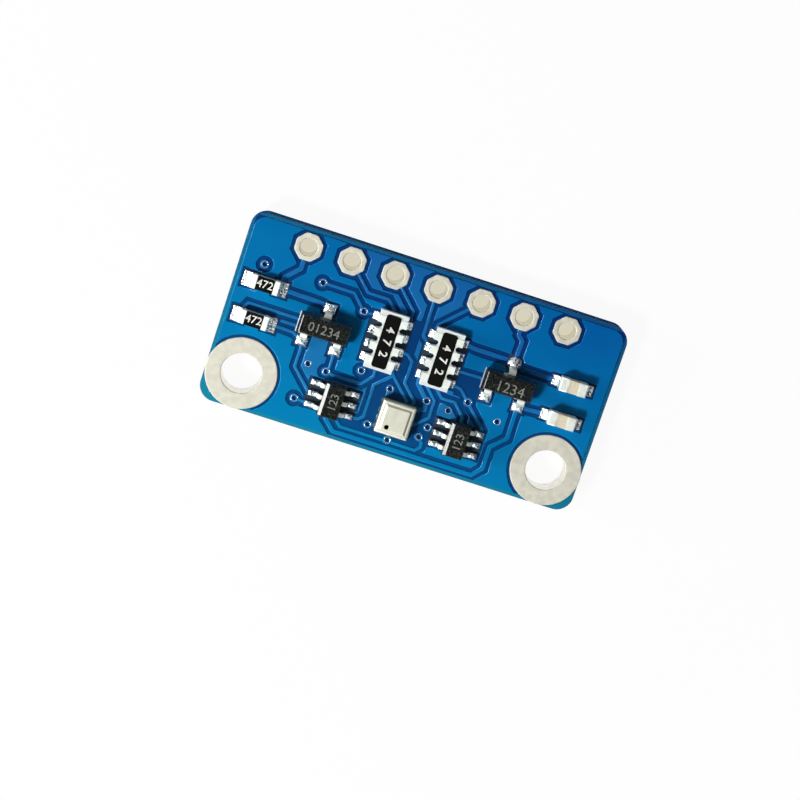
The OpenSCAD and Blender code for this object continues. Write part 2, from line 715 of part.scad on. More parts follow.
// Land and bead under and round a lead's foot
module foot_joint(land) {
    translate([land[0], land[1], board_t]) {
        translate([0, 0, -copper_t]) linear_extrude(copper_t + film_t)
            square([land[2], land[3]], center = true);
        translate([0, 0, film_t]) bead(land[2], land[3], lead_t + bead_h);
    }
}

module hex_frame() {
    for (s = [0, 180], k = [-1:1]) rotate(s - 90) translate([k * hex_pitch, 0, 0])
        lead(hex_w, hex_span, hex_exit, hex_lead_w);
}

// Wedge that takes off the top edge along the first lead's side
module hex_bevel() {
    edge = hex_draft - hex_w / 2;
    translate([0, hex_l / 2, hex_t]) rotate([90, 0, 0]) linear_extrude(hex_l)
        polygon([[edge + bevel_w, 0], [edge + bevel_w, through],
            [edge - bevel_w, through], [edge - bevel_w, -2 * bevel_h]]);
}

module hex_body() {
    difference() {
        translate([0, 0, standoff]) rotate(90)
            moulding(hex_l, hex_w, hex_t - standoff, hex_exit - standoff, hex_draft);
        hex_frame();
        hex_bevel();
        translate([dot_edge - hex_w / 2, hex_l / 2 - dot_edge, hex_t - dot_depth])
            cylinder(d = dot_d, h = through);
    }
}

module transistor_body() {
    color("dimgray") on_board(TRANSISTOR) triple_body();
}

module transistor_leads() {
    color("silver") on_board(TRANSISTOR) triple_frame();
}

module transistor_solder() {
    color("lightgray")
    difference() {
        for (k = [-1:1]) foot_joint(triple_land(TRANSISTOR, k));
        on_board(TRANSISTOR) triple_frame();
    }
}

module regulator_body() {
    color("dimgray") on_board(REGULATOR) triple_body();
}

module regulator_leads() {
    color("silver") on_board(REGULATOR) triple_frame();
}

module regulator_solder() {
    color("lightgray")
    difference() {
        union() {
            for (k = [-1, 1]) foot_joint(triple_land(REGULATOR, k));
            translate([TAB.x, TAB.y, board_t - copper_t]) cylinder(d = tab_d, h = copper_t + film_t);
            translate([TAB.x, TAB.y, seat_z]) rotate_extrude() intersection() {
                segment(tab_d, lead_t + bead_h);
                square([tab_d, tab_d]);
            }
        }
        on_board(REGULATOR) triple_frame();
    }
}

module shifter_body(i) {
    color("dimgray") on_board(SHIFTERS[i]) hex_body();
}

module shifter_leads(i) {
    color("silver") on_board(SHIFTERS[i]) hex_frame();
}

module shifter_solder(i) {
    color("lightgray")
    difference() {
        for (s = [-1, 1], k = [1:3]) foot_joint(hex_land(i, s, k));
        on_board(SHIFTERS[i]) hex_frame();
    }
}

// Width and height of the lid, and the height of its rim
lid_w = sensor_w - 2 * lid_inset;
lid_h = sensor_t - base_t;
rim_h = lid_h - lid_step;

module sensor_base() {
    color("darkolivegreen")
    on_board(SENSOR) translate([0, 0, base_t / 2]) cube([sensor_w, sensor_w, base_t], center = true);
}

// Drawn cap: round edges outside, and the same form less its wall inside
module cap_form(w, h, r) {
    intersection() {
        translate([0, 0, -h]) soft_block(w, w, 2 * h, r);
        translate([0, 0, h / 2]) cube([w + through, w + through, h], center = true);
    }
}

// Raised middle of the lid, with sloping sides, standing on the rim's level
module raised_middle() {
    foot = lid_w / 2 - lid_rim;
    top = foot - lid_slope;
    profile = [
        [-foot, -lid_wall], [foot, -lid_wall], [foot, 0], [top, lid_step],
        [-top, lid_step], [-foot, 0]];
    intersection() {
        translate([0, foot, 0]) rotate([90, 0, 0]) linear_extrude(2 * foot) polygon(profile);
        translate([-foot, 0, 0]) rotate([90, 0, 90]) linear_extrude(2 * foot) polygon(profile);
    }
}

// Outer form of the lid, or its inner form when inset by the sheet
module lid_form(inset) {
    cap_form(lid_w - 2 * inset, rim_h - inset, lid_r - inset);
    translate([0, 0, rim_h - inset]) raised_middle();
}

module sensor_lid() {
    color("silver")
    on_board(SENSOR) translate([0, 0, base_t]) difference() {
        lid_form(0);
        lid_form(lid_wall);
        translate([-vent_x, -vent_y, 0]) cylinder(d = vent_d, h = lid_h + through);
    }
}

// The die and the chip lie side by side under the lid
die_x = -(chip_w + chip_gap) / 2;
asic_x = (die_w + chip_gap) / 2;

// Silicon die, hollowed from below to leave a thin diaphragm
module sensor_die() {
    color("slategray")
    on_board(SENSOR) translate([die_x, 0, base_t]) difference() {
        translate([0, 0, die_t / 2]) cube([die_w, die_w, die_t], center = true);
        translate([0, 0, (die_t - diaphragm_t) / 2])
            cube([die_w / 2, die_w / 2, die_t - diaphragm_t], center = true);
    }
}

module sensor_chip() {
    color("darkslategray")
    on_board(SENSOR) translate([asic_x, 0, base_t + chip_t / 2])
        cube([chip_w, chip_l, chip_t], center = true);
}

// Loops of wire from the die to the chip, each an arch with a leg
module sensor_wires() {
    from_x = die_x + die_w / 2 - wire_edge;
    to_x = asic_x - chip_w / 2 + wire_edge;
    span = to_x - from_x;
    color("gold")
    on_board(SENSOR) for (k = [-1.5:1.5]) translate([(from_x + to_x) / 2, k * wire_pitch, base_t]) {
        translate([0, 0, die_t]) rotate([90, 0, 0])
            rotate_extrude(angle = 180) translate([span / 2, 0]) circle(d = wire_d);
        translate([span / 2, 0, chip_t]) cylinder(d = wire_d, h = die_t - chip_t);
    }
}

module sensor_solder() {
    color("lightgray")
    for (s = [-1, 1], k = [1:4]) {
        c = contact(s, k);
        translate([c[0], c[1], board_t - copper_t]) linear_extrude(copper_t + film_t)
            square([c[2], c[3]], center = true);
    }
}

laminate();
top_copper();
bottom_copper();
via_barrels();
fixing_ring(-1);  // fixing_ring_left
fixing_ring(1);  // fixing_ring_right
header_pad(1);  // header_pad_1
header_pad(2);  // header_pad_2
header_pad(3);  // header_pad_3
header_pad(4);  // header_pad_4
header_pad(5);  // header_pad_5
header_pad(6);  // header_pad_6
header_pad(7);  // header_pad_7
resistor_ceramic(0);  // resistor_1_ceramic
resistor_coat(0);  // resistor_1_coat
resistor_terminals(0);  // resistor_1_terminals
resistor_solder(0);  // resistor_1_solder
resistor_ceramic(1);  // resistor_2_ceramic
resistor_coat(1);  // resistor_2_coat
resistor_terminals(1);  // resistor_2_terminals
resistor_solder(1);  // resistor_2_solder
array_ceramic(0);  // array_1_ceramic
array_coat(0);  // array_1_coat
array_terminals(0);  // array_1_terminals
array_solder(0);  // array_1_solder
array_ceramic(1);  // array_2_ceramic
array_coat(1);  // array_2_coat
array_terminals(1);  // array_2_terminals
array_solder(1);  // array_2_solder
capacitor_ceramic(0);  // capacitor_1_ceramic
capacitor_caps(0);  // capacitor_1_caps
capacitor_solder(0);  // capacitor_1_solder
capacitor_ceramic(1);  // capacitor_2_ceramic
capacitor_caps(1);  // capacitor_2_caps
capacitor_solder(1);  // capacitor_2_solder
transistor_body();
transistor_leads();
transistor_solder();
regulator_body();
regulator_leads();
regulator_solder();
shifter_body(0);  // shifter_1_body
shifter_leads(0);  // shifter_1_leads
shifter_solder(0);  // shifter_1_solder
shifter_body(1);  // shifter_2_body
shifter_leads(1);  // shifter_2_leads
shifter_solder(1);  // shifter_2_solder
sensor_base();
sensor_lid();
sensor_die();
sensor_chip();
sensor_wires();
sensor_solder();
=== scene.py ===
import json
import math

import bmesh
import bpy
import numpy as np
from bpy.props import FloatProperty, FloatVectorProperty, PointerProperty
from mathutils import Matrix, Quaternion, Vector, noise
from mathutils.geometry import delaunay_2d_cdt


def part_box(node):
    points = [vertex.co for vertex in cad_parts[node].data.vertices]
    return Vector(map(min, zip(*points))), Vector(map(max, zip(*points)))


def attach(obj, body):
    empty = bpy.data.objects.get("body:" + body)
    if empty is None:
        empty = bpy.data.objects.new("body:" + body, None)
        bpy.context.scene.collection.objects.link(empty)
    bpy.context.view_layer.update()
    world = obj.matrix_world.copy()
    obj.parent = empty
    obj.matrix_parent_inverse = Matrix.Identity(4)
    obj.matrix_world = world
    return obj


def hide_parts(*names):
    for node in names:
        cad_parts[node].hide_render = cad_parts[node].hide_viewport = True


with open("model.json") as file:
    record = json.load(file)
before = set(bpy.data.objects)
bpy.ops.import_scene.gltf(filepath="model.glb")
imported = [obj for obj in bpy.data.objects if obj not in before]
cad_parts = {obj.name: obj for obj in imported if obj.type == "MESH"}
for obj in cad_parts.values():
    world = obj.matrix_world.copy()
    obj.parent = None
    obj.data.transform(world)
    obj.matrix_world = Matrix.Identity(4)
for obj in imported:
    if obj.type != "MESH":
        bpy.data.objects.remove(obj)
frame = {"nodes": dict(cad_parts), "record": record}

bl_info = {
    "name": "Pressure Sensor Board",
    "version": (1, 0, 0),
    "blender": (4, 5, 0),
    "location": "View3D > Sidebar > Board",
    "description": "Finishes the pieces of a small circuit board with a pressure sensor on it",
    "category": "Object",
}

# Meshes are worked in millimetres and scaled to metres when they are put in place.
# Sizes below are in millimetres where nothing else is said
MM = 0.001
# Corners closer than this are one corner
WELD = 0.0005
# Points on an outline of copper stand at least this far apart
POINT_GAP = 0.03
# Joints and leads closer than this share an opening in the mask
GANG = 0.5
# Thickness of a plated barrel's wall
BARREL_T = 0.05
# An island of copper with less than this many square millimetres is a trace
LEAST_POUR = 5
# Faces whose areas differ by less than this many square millimetres count as equally wide
LIKE_AREAS = 1e-5
# A turn of an edge up to this angle is part of one flat face
FLAT = math.radians(0.4)
# Least upward share of a level face's normal
UPRIGHT = 0.99
# Reach of the softened corners of an eight-sided land, in half widths; sharp ones reach 1.082
CORNER_REACH = 1.055
FULL_TURN = 2 * math.pi
# Points round a via, a header hole and a fixing hole
VIA_POINTS = 24
HEADER_POINTS = 96
FIXING_POINTS = 160
# The board's edge and a moulding's edges stay sharp from these turns on
BOARD_CREASE = math.radians(50)
MOULD_CREASE = math.radians(10)
# Value that the resistors carry; any plain one would do
CODE = "472"
# The way along the board toward which painted light makes the solder mask paler and greener, and
# what each channel of its colour is multiplied by at the painted shade's end and at the painted
# light's end
PAINTED_LIGHT_WAY = (-0.24, -0.97, 0)
PAINTED_SHADE_GAINS = (0.7, 0.66, 0.86)
PAINTED_LIGHT_GAINS = (1.5, 1.5, 1.18)
# Middle and reach of the shade on the paper under the header's row of holes, in metres
SHADE_MIDDLE = (0, 0.0044, 0)
SHADE_REACH = (0.0104, 0.0009, 1)
# The floor lies this far below the board, so that no two faces share a place
FLOOR_GAP = 0.01
# Where the photograph was taken from, what it is aimed at on the board, and its roll
CAMERA_PLACE = (-10.474, 19.176, 123.422)
CAMERA_TARGET = (-0.083, -2.207)
CAMERA_ROLL = math.radians(172.215)
SENSOR_WIDTH = 36
# Way to the bright window of the room that polished metal mirrors
WINDOW_WAY = Vector((-0.55, -0.35, 0.75)).normalized()
# Azimuth and elevation in degrees, distance, and size of each lamp
LAMPS = {
    "key": (226, 47, 250, 46),
    "side": (188, 14.5, 300, 82),
    "front": (315, 24, 150, 60),
    "back": (98, 9, 150, 40),
    "under": (315, -52, 250, 60),
}

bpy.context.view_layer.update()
MOUNTS = {m["name"]: m for m in frame["record"]["mounts"]}


def box_mm(node):
    """Lowest and highest corner of a CAD node, in millimetres."""
    low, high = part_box(node)
    return low / MM, high / MM


# Levels and edges of the board, read from the frame
BOARD_LOW, BOARD_HIGH = box_mm("laminate")
COPPER_LOW, COPPER_HIGH = box_mm("top_copper")
TOP = COPPER_HIGH.z
COPPER_T = COPPER_HIGH.z - COPPER_LOW.z
HOLE_PATTERN = MOUNTS["fixing_holes"]
FIX_X = HOLE_PATTERN["dims"]["spacing_x_mm"] / 2
FIX_Y = HOLE_PATTERN["pos_m"][1] / MM
FIX_R = HOLE_PATTERN["dims"]["hole_r_mm"]


def linear(code):
    """An sRGB hex colour as the linear colour that a shader takes."""
    parts = [int(code[i:i + 2], 16) / 255 for i in (1, 3, 5)]
    return [p / 12.92 if p <= 0.04045 else ((p + 0.055) / 1.055) ** 2.4 for p in parts] + [1.0]


def length(name, description, default, low, high):
    """A size property, given in millimetres."""
    return FloatProperty(
        name=name, description=description, default=default * MM, min=low * MM, max=high * MM,
        unit="LENGTH", precision=5)


def colour(name, description, default):
    """A colour property, given as an sRGB hex value."""
    return FloatVectorProperty(
        name=name, description=description, default=linear(default), size=4, min=0, max=1,
        subtype="COLOR")


def light_level(name, description, default):
    """A lamp's light, as the lit share of a white surface that faces it."""
    return FloatProperty(name=name, description=description, default=default, min=0, max=2)


class BoardShapes(bpy.types.PropertyGroup):
    """Sizes of the fine forms that the finish gives to the pieces"""
    mask_slope: length(
        "Mask slope", "Width of the slope of solder mask along a copper's side", 0.06, 0.02, 0.08)
    board_round: length("Board edge", "Rounding of the routed edge of the board", 0.04, 0.01, 0.1)
    tin_crown: length("Tin crown", "Height of the levelled tin over a land", 0.035, 0.02, 0.1)
    via_dimple: length(
        "Via dimple", "Depth that the mask sags into a via, under its copper", 0.25, 0.05, 0.4)
    via_rim: length(
        "Via rim", "Width of the tinned rim that the mask leaves round a via", 0.037, 0.03, 0.09)
    opening: length(
        "Mask opening", "Clearance of the mask's openings round the joints", 0.055, 0.03, 0.1)
    flash: length(
        "Mould flash", "Height of the ridge that the halves of a mould leave", 0.035, 0.01, 0.05)
    grain: length("Solder detail", "Spacing of the points on a solder joint", 0.022, 0.015, 0.05)
    solder_ripple: length("Solder ripple", "Unevenness of a solder joint", 0.02, 0.0, 0.03)
    chip_round: length("Chip edge", "Rounding of a ceramic chip's edges", 0.02, 0.005, 0.04)
    mould_edge: length(
        "Moulding edge", "Width of the flat on a moulded package's edges", 0.06, 0.01, 0.08)
    lead_round: length("Lead edge", "Rounding of a stamped lead's edges", 0.014, 0.005, 0.03)
    lid_round: length("Lid edge", "Rounding of the lid's pressed edges", 0.02, 0.004, 0.03)
    ink_t: length("Ink thickness", "Thickness of the printed value codes", 0.008, 0.004, 0.02)


class BoardColours(bpy.types.PropertyGroup):
    """Colours of the finishes"""
    mask_pour: colour("Mask on pours", "Solder mask over wide copper", "#0070B0")
    mask_trace: colour("Mask on traces", "Solder mask over a narrow trace", "#166AAE")
    mask_bare: colour("Mask on laminate", "Solder mask over laminate, copper behind", "#043C7C")
    mask_clear: colour("Mask at the edge", "Solder mask over laminate, no copper", "#0F6A94")
    # The bare laminate's colour is partly its own and partly painted shade, darkening the openings
    # between joints and leads
    opening: colour("Bare laminate", "Etched laminate in the openings of the mask", "#27343E")
    edge: colour("Board edge", "Routed edge of the laminate", "#205484")
    tin: colour("Tin", "Levelled tin on the lands", "#CBC9BD")
    barrel: colour("Barrel", "Tin inside the plated holes", "#E6E3D6")
    solder: colour("Solder", "Reflowed solder", "#E8F1F6")
    plating: colour("Plating", "Tin plate on terminals and leads", "#E2E7E0")
    moulding: colour("Moulding", "Epoxy of the moulded packages", "#0F120F")
    mark: colour("Laser mark", "Numbers marked on the moulded packages", "#7F8179")
    coat: colour("Glass coat", "Black glass on the resistors", "#0A0B09")
    alumina: colour("Alumina", "White ceramic of the resistors", "#E8EFEE")
    ceramic: colour("Capacitor", "Ceramic of the capacitors", "#E4DABE")
    lid: colour("Lid", "Sheet metal of the sensor's lid", "#DADAC9")
    base: colour("Sensor base", "Laminate under the lid", "#3B4A2A")
    silicon: colour("Silicon", "Die and chip under the lid", "#55585F")
    gold: colour("Bond wire", "Wires under the lid", "#E8BE5C")
    ink: colour("Value ink", "Printed value codes", "#F4F3EC")


class BoardStudio(bpy.types.PropertyGroup):
    """Light and view"""
    key_light: light_level("Key light", "Light on the board from the large lamp", 0.93)
    side_light: light_level("Side light", "Light from the low lamp at the left", 0.62)
    front_light: light_level("Front light", "Light from the low lamp in front", 0.08)
    back_light: light_level("Back light", "Light from the low lamp behind", 0.07)
    under_light: light_level("Under light", "Light on the underside of the board", 0.8)
    fill: light_level("Fill", "Even light from all round", 0.03)
    lens: FloatProperty(
        name="Lens", description="Focal length of the camera", default=99 * MM, min=20 * MM,
        max=300 * MM, unit="CAMERA")


def add_node(tree, kind, values=None, **settings):
    """Adds a node. Settings are the node's own; values fill its inputs, each with a value or from
    a socket."""
    node = tree.nodes.new(kind)
    for name, value in settings.items():
        setattr(node, name, value)
    for key, value in (values or {}).items():
        if isinstance(value, bpy.types.NodeSocket):
            tree.links.new(value, node.inputs[key])
        else:
            node.inputs[key].default_value = value
    return node


def compute(tree, operation, *values):
    """The result of an operation on numbers."""
    return add_node(tree, "ShaderNodeMath", dict(enumerate(values)), operation=operation).outputs[0]


def measure(tree, operation, *values):
    """The result of an operation on vectors: a number for a length or a product, else a vector."""
    node = add_node(tree, "ShaderNodeVectorMath", dict(enumerate(values)), operation=operation)
    return node.outputs["Value" if operation in ("LENGTH", "DOT_PRODUCT") else "Vector"]


def blend(tree, factor, first, second, **settings):
    """A mix of two values or colours."""
    return add_node(tree, "ShaderNodeMix", {"Factor": factor, "A": first, "B": second},
                    **settings).outputs["Result"]


def remap(tree, value, low, high, to_low=0.0, to_high=1.0, **settings):
    """A value with its range taken to another one."""
    return add_node(tree, "ShaderNodeMapRange", {
        "Value": value, "From Min": low, "From Max": high, "To Min": to_low, "To Max": to_high},
        **settings).outputs["Result"]


def shade_of(base, gain):
    """A colour made lighter or darker by one factor, or by a factor for each channel."""
    gains = gain if isinstance(gain, tuple) else (gain, gain, gain)
    return [min(1.0, part * by) for part, by in zip(base[:3], gains)] + [1.0]


class Finish:
    """A material in the making. Its patterns are laid out on the object."""

    def __init__(self, name):
        material = bpy.data.materials.new(name)
        material.use_nodes = True
        self.tree = material.node_tree
        self.shader = self.tree.nodes["Principled BSDF"]
        self.place = add_node(self.tree, "ShaderNodeTexCoord").outputs["Object"]

    def hold(self, values):
        """Gives the shader the values that are the same all over."""
        for key, value in values.items():
            self.shader.inputs[key].default_value = value

    def noise(self, size, detail, place=None, **values):
        """Noise whose features are that many millimetres across."""
        return add_node(self.tree, "ShaderNodeTexNoise", {
            "Vector": place or self.place, "Scale": 1 / (size * MM), "Detail": detail,
            **values}).outputs["Fac"]

    def tint(self, factor, base, low, high):
        """Lets the colour run between two shades of its base."""
        tone = blend(self.tree, factor, shade_of(base, low), shade_of(base, high),
                     data_type="RGBA")
        self.tree.links.new(tone, self.shader.inputs["Base Color"])

    def dull(self, factor, low, high, span=(0.3, 0.7)):
        """Lets the roughness run between two values, while the factor runs through its span."""
        self.tree.links.new(
            remap(self.tree, factor, *span, low, high), self.shader.inputs["Roughness"])

    def emboss(self, height, strength, depth):
        """Gives the surface a relief that is that many millimetres deep at most."""
        relief = add_node(self.tree, "ShaderNodeBump", {
            "Height": height, "Strength": strength, "Distance": depth * MM})
        self.tree.links.new(relief.outputs["Normal"], self.shader.inputs["Normal"])


def solder_mask(look, base, spread=1.0):
    """Solder mask: liquid photo-imaged epoxy, curtain-coated and cured. It gives a glossy, slightly
    uneven skin with fine dust in it. Its colour carries painted light: it is paler and greener
    toward the front left corner and darker away from it; spread says how much."""
    look.hold({"IOR": 1.5, "Specular IOR Level": 0.25})
    toward_painted_light = measure(look.tree, "DOT_PRODUCT", look.place, PAINTED_LIGHT_WAY)
    # Noise moves the painted light about in patches, as if shifted up to 6 mm along its way
    painted_light_sway = compute(look.tree, "MULTIPLY_ADD", look.noise(3.2, 2), 6 * MM, toward_painted_light)
    # The painted shade is deepest 5.6 mm against that way from the board's middle, and the painted
    # light brightest 11.6 mm along it
    look.tint(remap(look.tree, painted_light_sway, -5.6 * MM, 11.6 * MM), base,
              tuple(gain ** spread for gain in PAINTED_SHADE_GAINS),
              tuple(gain ** spread for gain in PAINTED_LIGHT_GAINS))
    # Flow marks of the cured film
    look.emboss(look.noise(0.45, 3), 0.2, 0.012)
    # Dust and fingerprints dull the gloss in patches
    look.dull(look.noise(1.1, 6), 0.18, 0.24)


def routed_laminate(look, base):
    """FR-4 glass-epoxy laminate, cut by a router. Its edge shows the plies of glass cloth as faint
    bands."""
    look.hold({"Roughness": 0.62, "IOR": 1.5, "Specular IOR Level": 0.0})
    # One ply of cloth is 0.2 mm thick
    plies = add_node(look.tree, "ShaderNodeTexWave", {
        "Vector": look.place, "Scale": 1 / (0.2 * MM) / FULL_TURN, "Distortion": 0.8, "Detail": 3,
        "Detail Scale": 4}, bands_direction="Z")
    look.tint(plies.outputs["Fac"], base, 0.84, 1.2)
    # The cutter leaves torn fibre ends
    look.emboss(look.noise(0.08, 4), 0.6, 0.02)


def etched_laminate(look, base):
    """FR-4 laminate that the copper was etched from. It is dull, with the print of the copper's
    rough side. Its dark colour is partly the laminate's own and partly painted shade between the
    joints and leads."""
    look.hold({"Roughness": 0.6, "IOR": 1.5, "Specular IOR Level": 0.2})
    tooth = look.noise(0.07, 4)
    look.tint(tooth, base, 0.4, 1.7)
    look.emboss(tooth, 0.4, 0.01)


def levelled_tin(look, base, roughness):
    """Tin on copper, levelled by hot air. It is a soft-bright, faintly mottled metal with shallow
    puddles and a fine grain."""
    look.hold({"Metallic": 1.0})
    frost = look.noise(0.4, 6)
    look.tint(remap(look.tree, frost, 0.38, 0.62), base, 0.89, 1.07)
    look.dull(frost, 0.9 * roughness, 1.1 * roughness)
    # Puddles are 0.7 mm wide, grains 0.06 mm
    puddle = look.noise(0.7, 1)
    look.emboss(compute(look.tree, "MULTIPLY_ADD", look.noise(0.06, 2), 0.08, puddle), 0.3, 0.015)


def reflowed_solder(look, base):
    """Solder, melted in an oven. It freezes bright, with smooth flow lines and small facets."""
    look.hold({"Metallic": 1.0})
    cloud = look.noise(0.22, 4)
    look.tint(cloud, base, 0.8, 1.08)
    look.dull(cloud, 0.16, 0.34, (0.35, 0.65))
    look.emboss(cloud, 0.7, 0.05)


def matt_tin_plate(look, base):
    """Matt tin, electroplated over nickel or copper. It is pale and satin, with a very fine
    grain."""
    look.hold({"Metallic": 1.0})
    cloud = look.noise(0.3, 3)
    look.tint(cloud, base, 0.9, 1.05)
    look.dull(cloud, 0.5, 0.62)
    # The plated grain is a few micrometres; it is drawn at 0.1 mm so that it shows
    look.emboss(look.noise(0.1, 4), 0.45, 0.025)


def moulded_epoxy(look, base):
    """Black epoxy filled with silica, transfer-moulded in a spark-eroded tool. It is dark
    olive-grey and satin, with a fine even grain."""
    look.hold({"IOR": 1.55})
    # Grains of silica are drawn at 0.1 mm, coarser than they are, so that they show
    filler = look.noise(0.1, 5, Roughness=0.65)
    look.tint(remap(look.tree, filler, 0.48, 0.74), base, 0.05, 8)
    look.dull(filler, 0.16, 0.3)
    # The tool's grain is 0.03 mm
    look.emboss(look.noise(0.03, 2), 0.15, 0.008)


def lasered_epoxy(look, base):
    """Black epoxy that a laser has foamed to a pale matt line, finely broken."""
    look.hold({"Roughness": 0.7, "IOR": 1.55})
    look.tint(look.noise(0.08, 3), base, 0.3, 1.6)


def fired_glass(look, base):
    """Black glass, screen-printed and fired. It is glossy, with the soft swell of a printed
    film."""
    look.hold({"IOR": 1.52, "Roughness": 0.2, "Specular IOR Level": 0.3})
    swell = look.noise(0.3, 3)
    look.tint(swell, base, 0.6, 1.6)
    look.emboss(swell, 0.4, 0.012)


def fired_ceramic(look, base, grain, spread):
    """Ceramic, fired and snapped or diced. It is matt with a fine speckle of grains."""
    look.hold({"IOR": 1.6, "Roughness": 0.55})
    speckle = look.noise(grain, 4)
    look.tint(speckle, base, 1 - spread, 1 + spread)
    look.emboss(speckle, 0.4, 0.01)


def drawn_sheet(look, base):
    """Nickel silver, rolled and deep-drawn. Faint rolling lines run along it, and it is warm and
    satin."""
    look.hold({"Metallic": 1.0})
    # Rolling lines are 0.03 mm apart and stretched forty times along Y
    along = add_node(look.tree, "ShaderNodeMapping", {"Vector": look.place, "Scale": (1, 0.025, 1)})
    lines = look.noise(0.03, 3, along.outputs["Vector"])
    look.tint(look.noise(0.6, 2), base, 0.92, 1.05)
    look.dull(lines, 0.42, 0.54)
    look.emboss(lines, 0.25, 0.006)


def polished_metal(look, base, roughness):
    """Metal or silicon with a clean polished face. It mirrors, with a trace of haze."""
    look.hold({"Metallic": 1.0, "Base Color": base})
    look.dull(look.noise(0.1, 2), 0.7 * roughness, 1.3 * roughness, (0, 1))


def printed_ink(look, base):
    """White epoxy ink, printed and cured. It is matt and a little thin in places."""
    look.hold({"Roughness": 0.6})
    look.tint(look.noise(0.07, 3), base, 0.82, 1.05)


# Each finish: what makes it, its material's name, its colour's name, and what more its maker takes
FINISHES = {
    "pour": (solder_mask, "solder_mask_on_pour", "mask_pour"),
    # The mask's extra number is the spread of its painted light and shade
    "trace": (solder_mask, "solder_mask_on_trace", "mask_trace", 1.3),
    "bare": (solder_mask, "solder_mask_on_laminate", "mask_bare", 1.5),
    "clear": (solder_mask, "solder_mask_over_clear_laminate", "mask_clear", 1.6),
    "opening": (etched_laminate, "fr4_etched", "opening"),
    "edge": (routed_laminate, "fr4_routed_edge", "edge"),
    "tin": (levelled_tin, "tin_hot_air_levelled", "tin", 0.74),
    "barrel": (levelled_tin, "tin_blown_through_barrel", "barrel", 0.25),
    "solder": (reflowed_solder, "solder_reflowed", "solder"),
    "plating": (matt_tin_plate, "tin_matt_plated", "plating"),
    "moulding": (moulded_epoxy, "epoxy_transfer_moulded", "moulding"),
    "mark": (lasered_epoxy, "epoxy_laser_marked", "mark"),
    "coat": (fired_glass, "black_glass_fired", "coat"),
    "alumina": (fired_ceramic, "alumina_fired", "alumina", 0.03, 0.05),
    "ceramic": (fired_ceramic, "barium_titanate_fired", "ceramic", 0.12, 0.16),
    "lid": (drawn_sheet, "nickel_silver_drawn", "lid"),
    "base": (solder_mask, "sensor_base_laminate", "base"),
    "silicon": (polished_metal, "silicon_polished", "silicon", 0.12),
    "gold": (polished_metal, "gold_wire_drawn", "gold", 0.2),
    "ink": (printed_ink, "epoxy_ink_printed", "ink"),
}


def finish(name):
    """A finish's material, made when it is first asked for."""
    maker, title, tone, *more = FINISHES[name]
    if title not in bpy.data.materials:
        maker(Finish(title), getattr(bpy.context.scene.board_colours, tone), *more)
    return bpy.data.materials[title]


def clean_form(node):
    """A CAD node's form in millimetres, with shared corners and whole flat faces."""
    form = bmesh.new()
    form.from_mesh(frame["nodes"][node].data)
    form.transform(Matrix.Scale(1 / MM, 4))
    bmesh.ops.remove_doubles(form, verts=form.verts, dist=WELD)
    bmesh.ops.dissolve_limit(form, angle_limit=FLAT, verts=form.verts, edges=form.edges)
    for face in form.faces:
        face.smooth = True
    return form


def mesh_of(form):
    """A mesh from a bmesh, without the shading that came with the frame."""
    mesh = bpy.data.meshes.new("form")
    form.to_mesh(mesh)
    form.free()
    for extra in ("custom_normal", "sharp_edge", "sharp_face"):
        if extra in mesh.attributes:
            mesh.attributes.remove(mesh.attributes[extra])
    return mesh


def add_object(name, data):
    """A new object in the scene."""
    thing = bpy.data.objects.new(name, data)
    bpy.context.scene.collection.objects.link(thing)
    return thing


def take_mesh(blank):
    """The mesh that an object shows; the object itself is taken away."""
    seen = blank.evaluated_get(bpy.context.evaluated_depsgraph_get())
    mesh = bpy.data.meshes.new_from_object(seen)
    bpy.data.objects.remove(blank)
    return mesh


def worked(mesh, *steps):
    """A mesh after some modifiers; each step is a modifier's kind and its settings."""
    blank = add_object("blank", mesh)
    for kind, settings in steps:
        modifier = blank.modifiers.new(kind.title(), kind)
        for name, value in settings.items():
            setattr(modifier, name, value)
    return take_mesh(blank)


def put_piece(name, mesh, finishes, nodes=(), slot=None, even=True):
    """Puts a finished mesh on the board, in place of the CAD nodes that it stands for."""
    if even:
        # The widest face at a corner gives the shading there, so flats look flat
        mesh = worked(mesh, ("WEIGHTED_NORMAL", {
            "weight": 100, "thresh": LIKE_AREAS, "keep_sharp": True}))
    mesh.transform(Matrix.Scale(MM, 4))
    for each in finishes:
        mesh.materials.append(finish(each))
    piece = add_object(name, mesh)
    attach(piece, "root")
    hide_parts(*nodes)


def rounded(node, radius, from_angle=35, steps=2):
    """A CAD node's mesh with its sharp edges rounded."""
    return worked(mesh_of(clean_form(node)), ("BEVEL", {
        "width": radius / MM, "segments": steps, "limit_method": "ANGLE",
        "angle_limit": math.radians(from_angle), "use_clamp_overlap": True}))


def put_rounded(node, process, look, slot, *rounding):
    """Puts a CAD node's rounded form in its place; process says what was done to the real part."""
    put_piece(f"{node}_{process}", rounded(node, *rounding), [look], [node], slot)


def flat_faces(form, height, facing):
    """The flat faces of a form at a height, seen from above or from below, in a fixed order."""
    return dict.fromkeys(
        face for face in form.faces
        if face.normal.z * facing > UPRIGHT and abs(face.verts[0].co.z - height) < 10 * WELD)


def rim_loops(faces):
    """Loops of corners round some faces, with the faces on the left seen from outside."""
    following = {}
    for face in faces:
        for corner in face.loops:
            if sum(other in faces for other in corner.edge.link_faces) == 1:
                following.setdefault(corner.vert, []).append(corner.link_loop_next.vert)
    loops = []
    while following:
        start = next(iter(following))
        at = start
        loop = []
        while at in following:
            loop.append(at)
            ahead = following[at].pop()
            if not following[at]:
                del following[at]
            at = ahead
            if at is start:
                break
        loops.append(loop)
    return loops


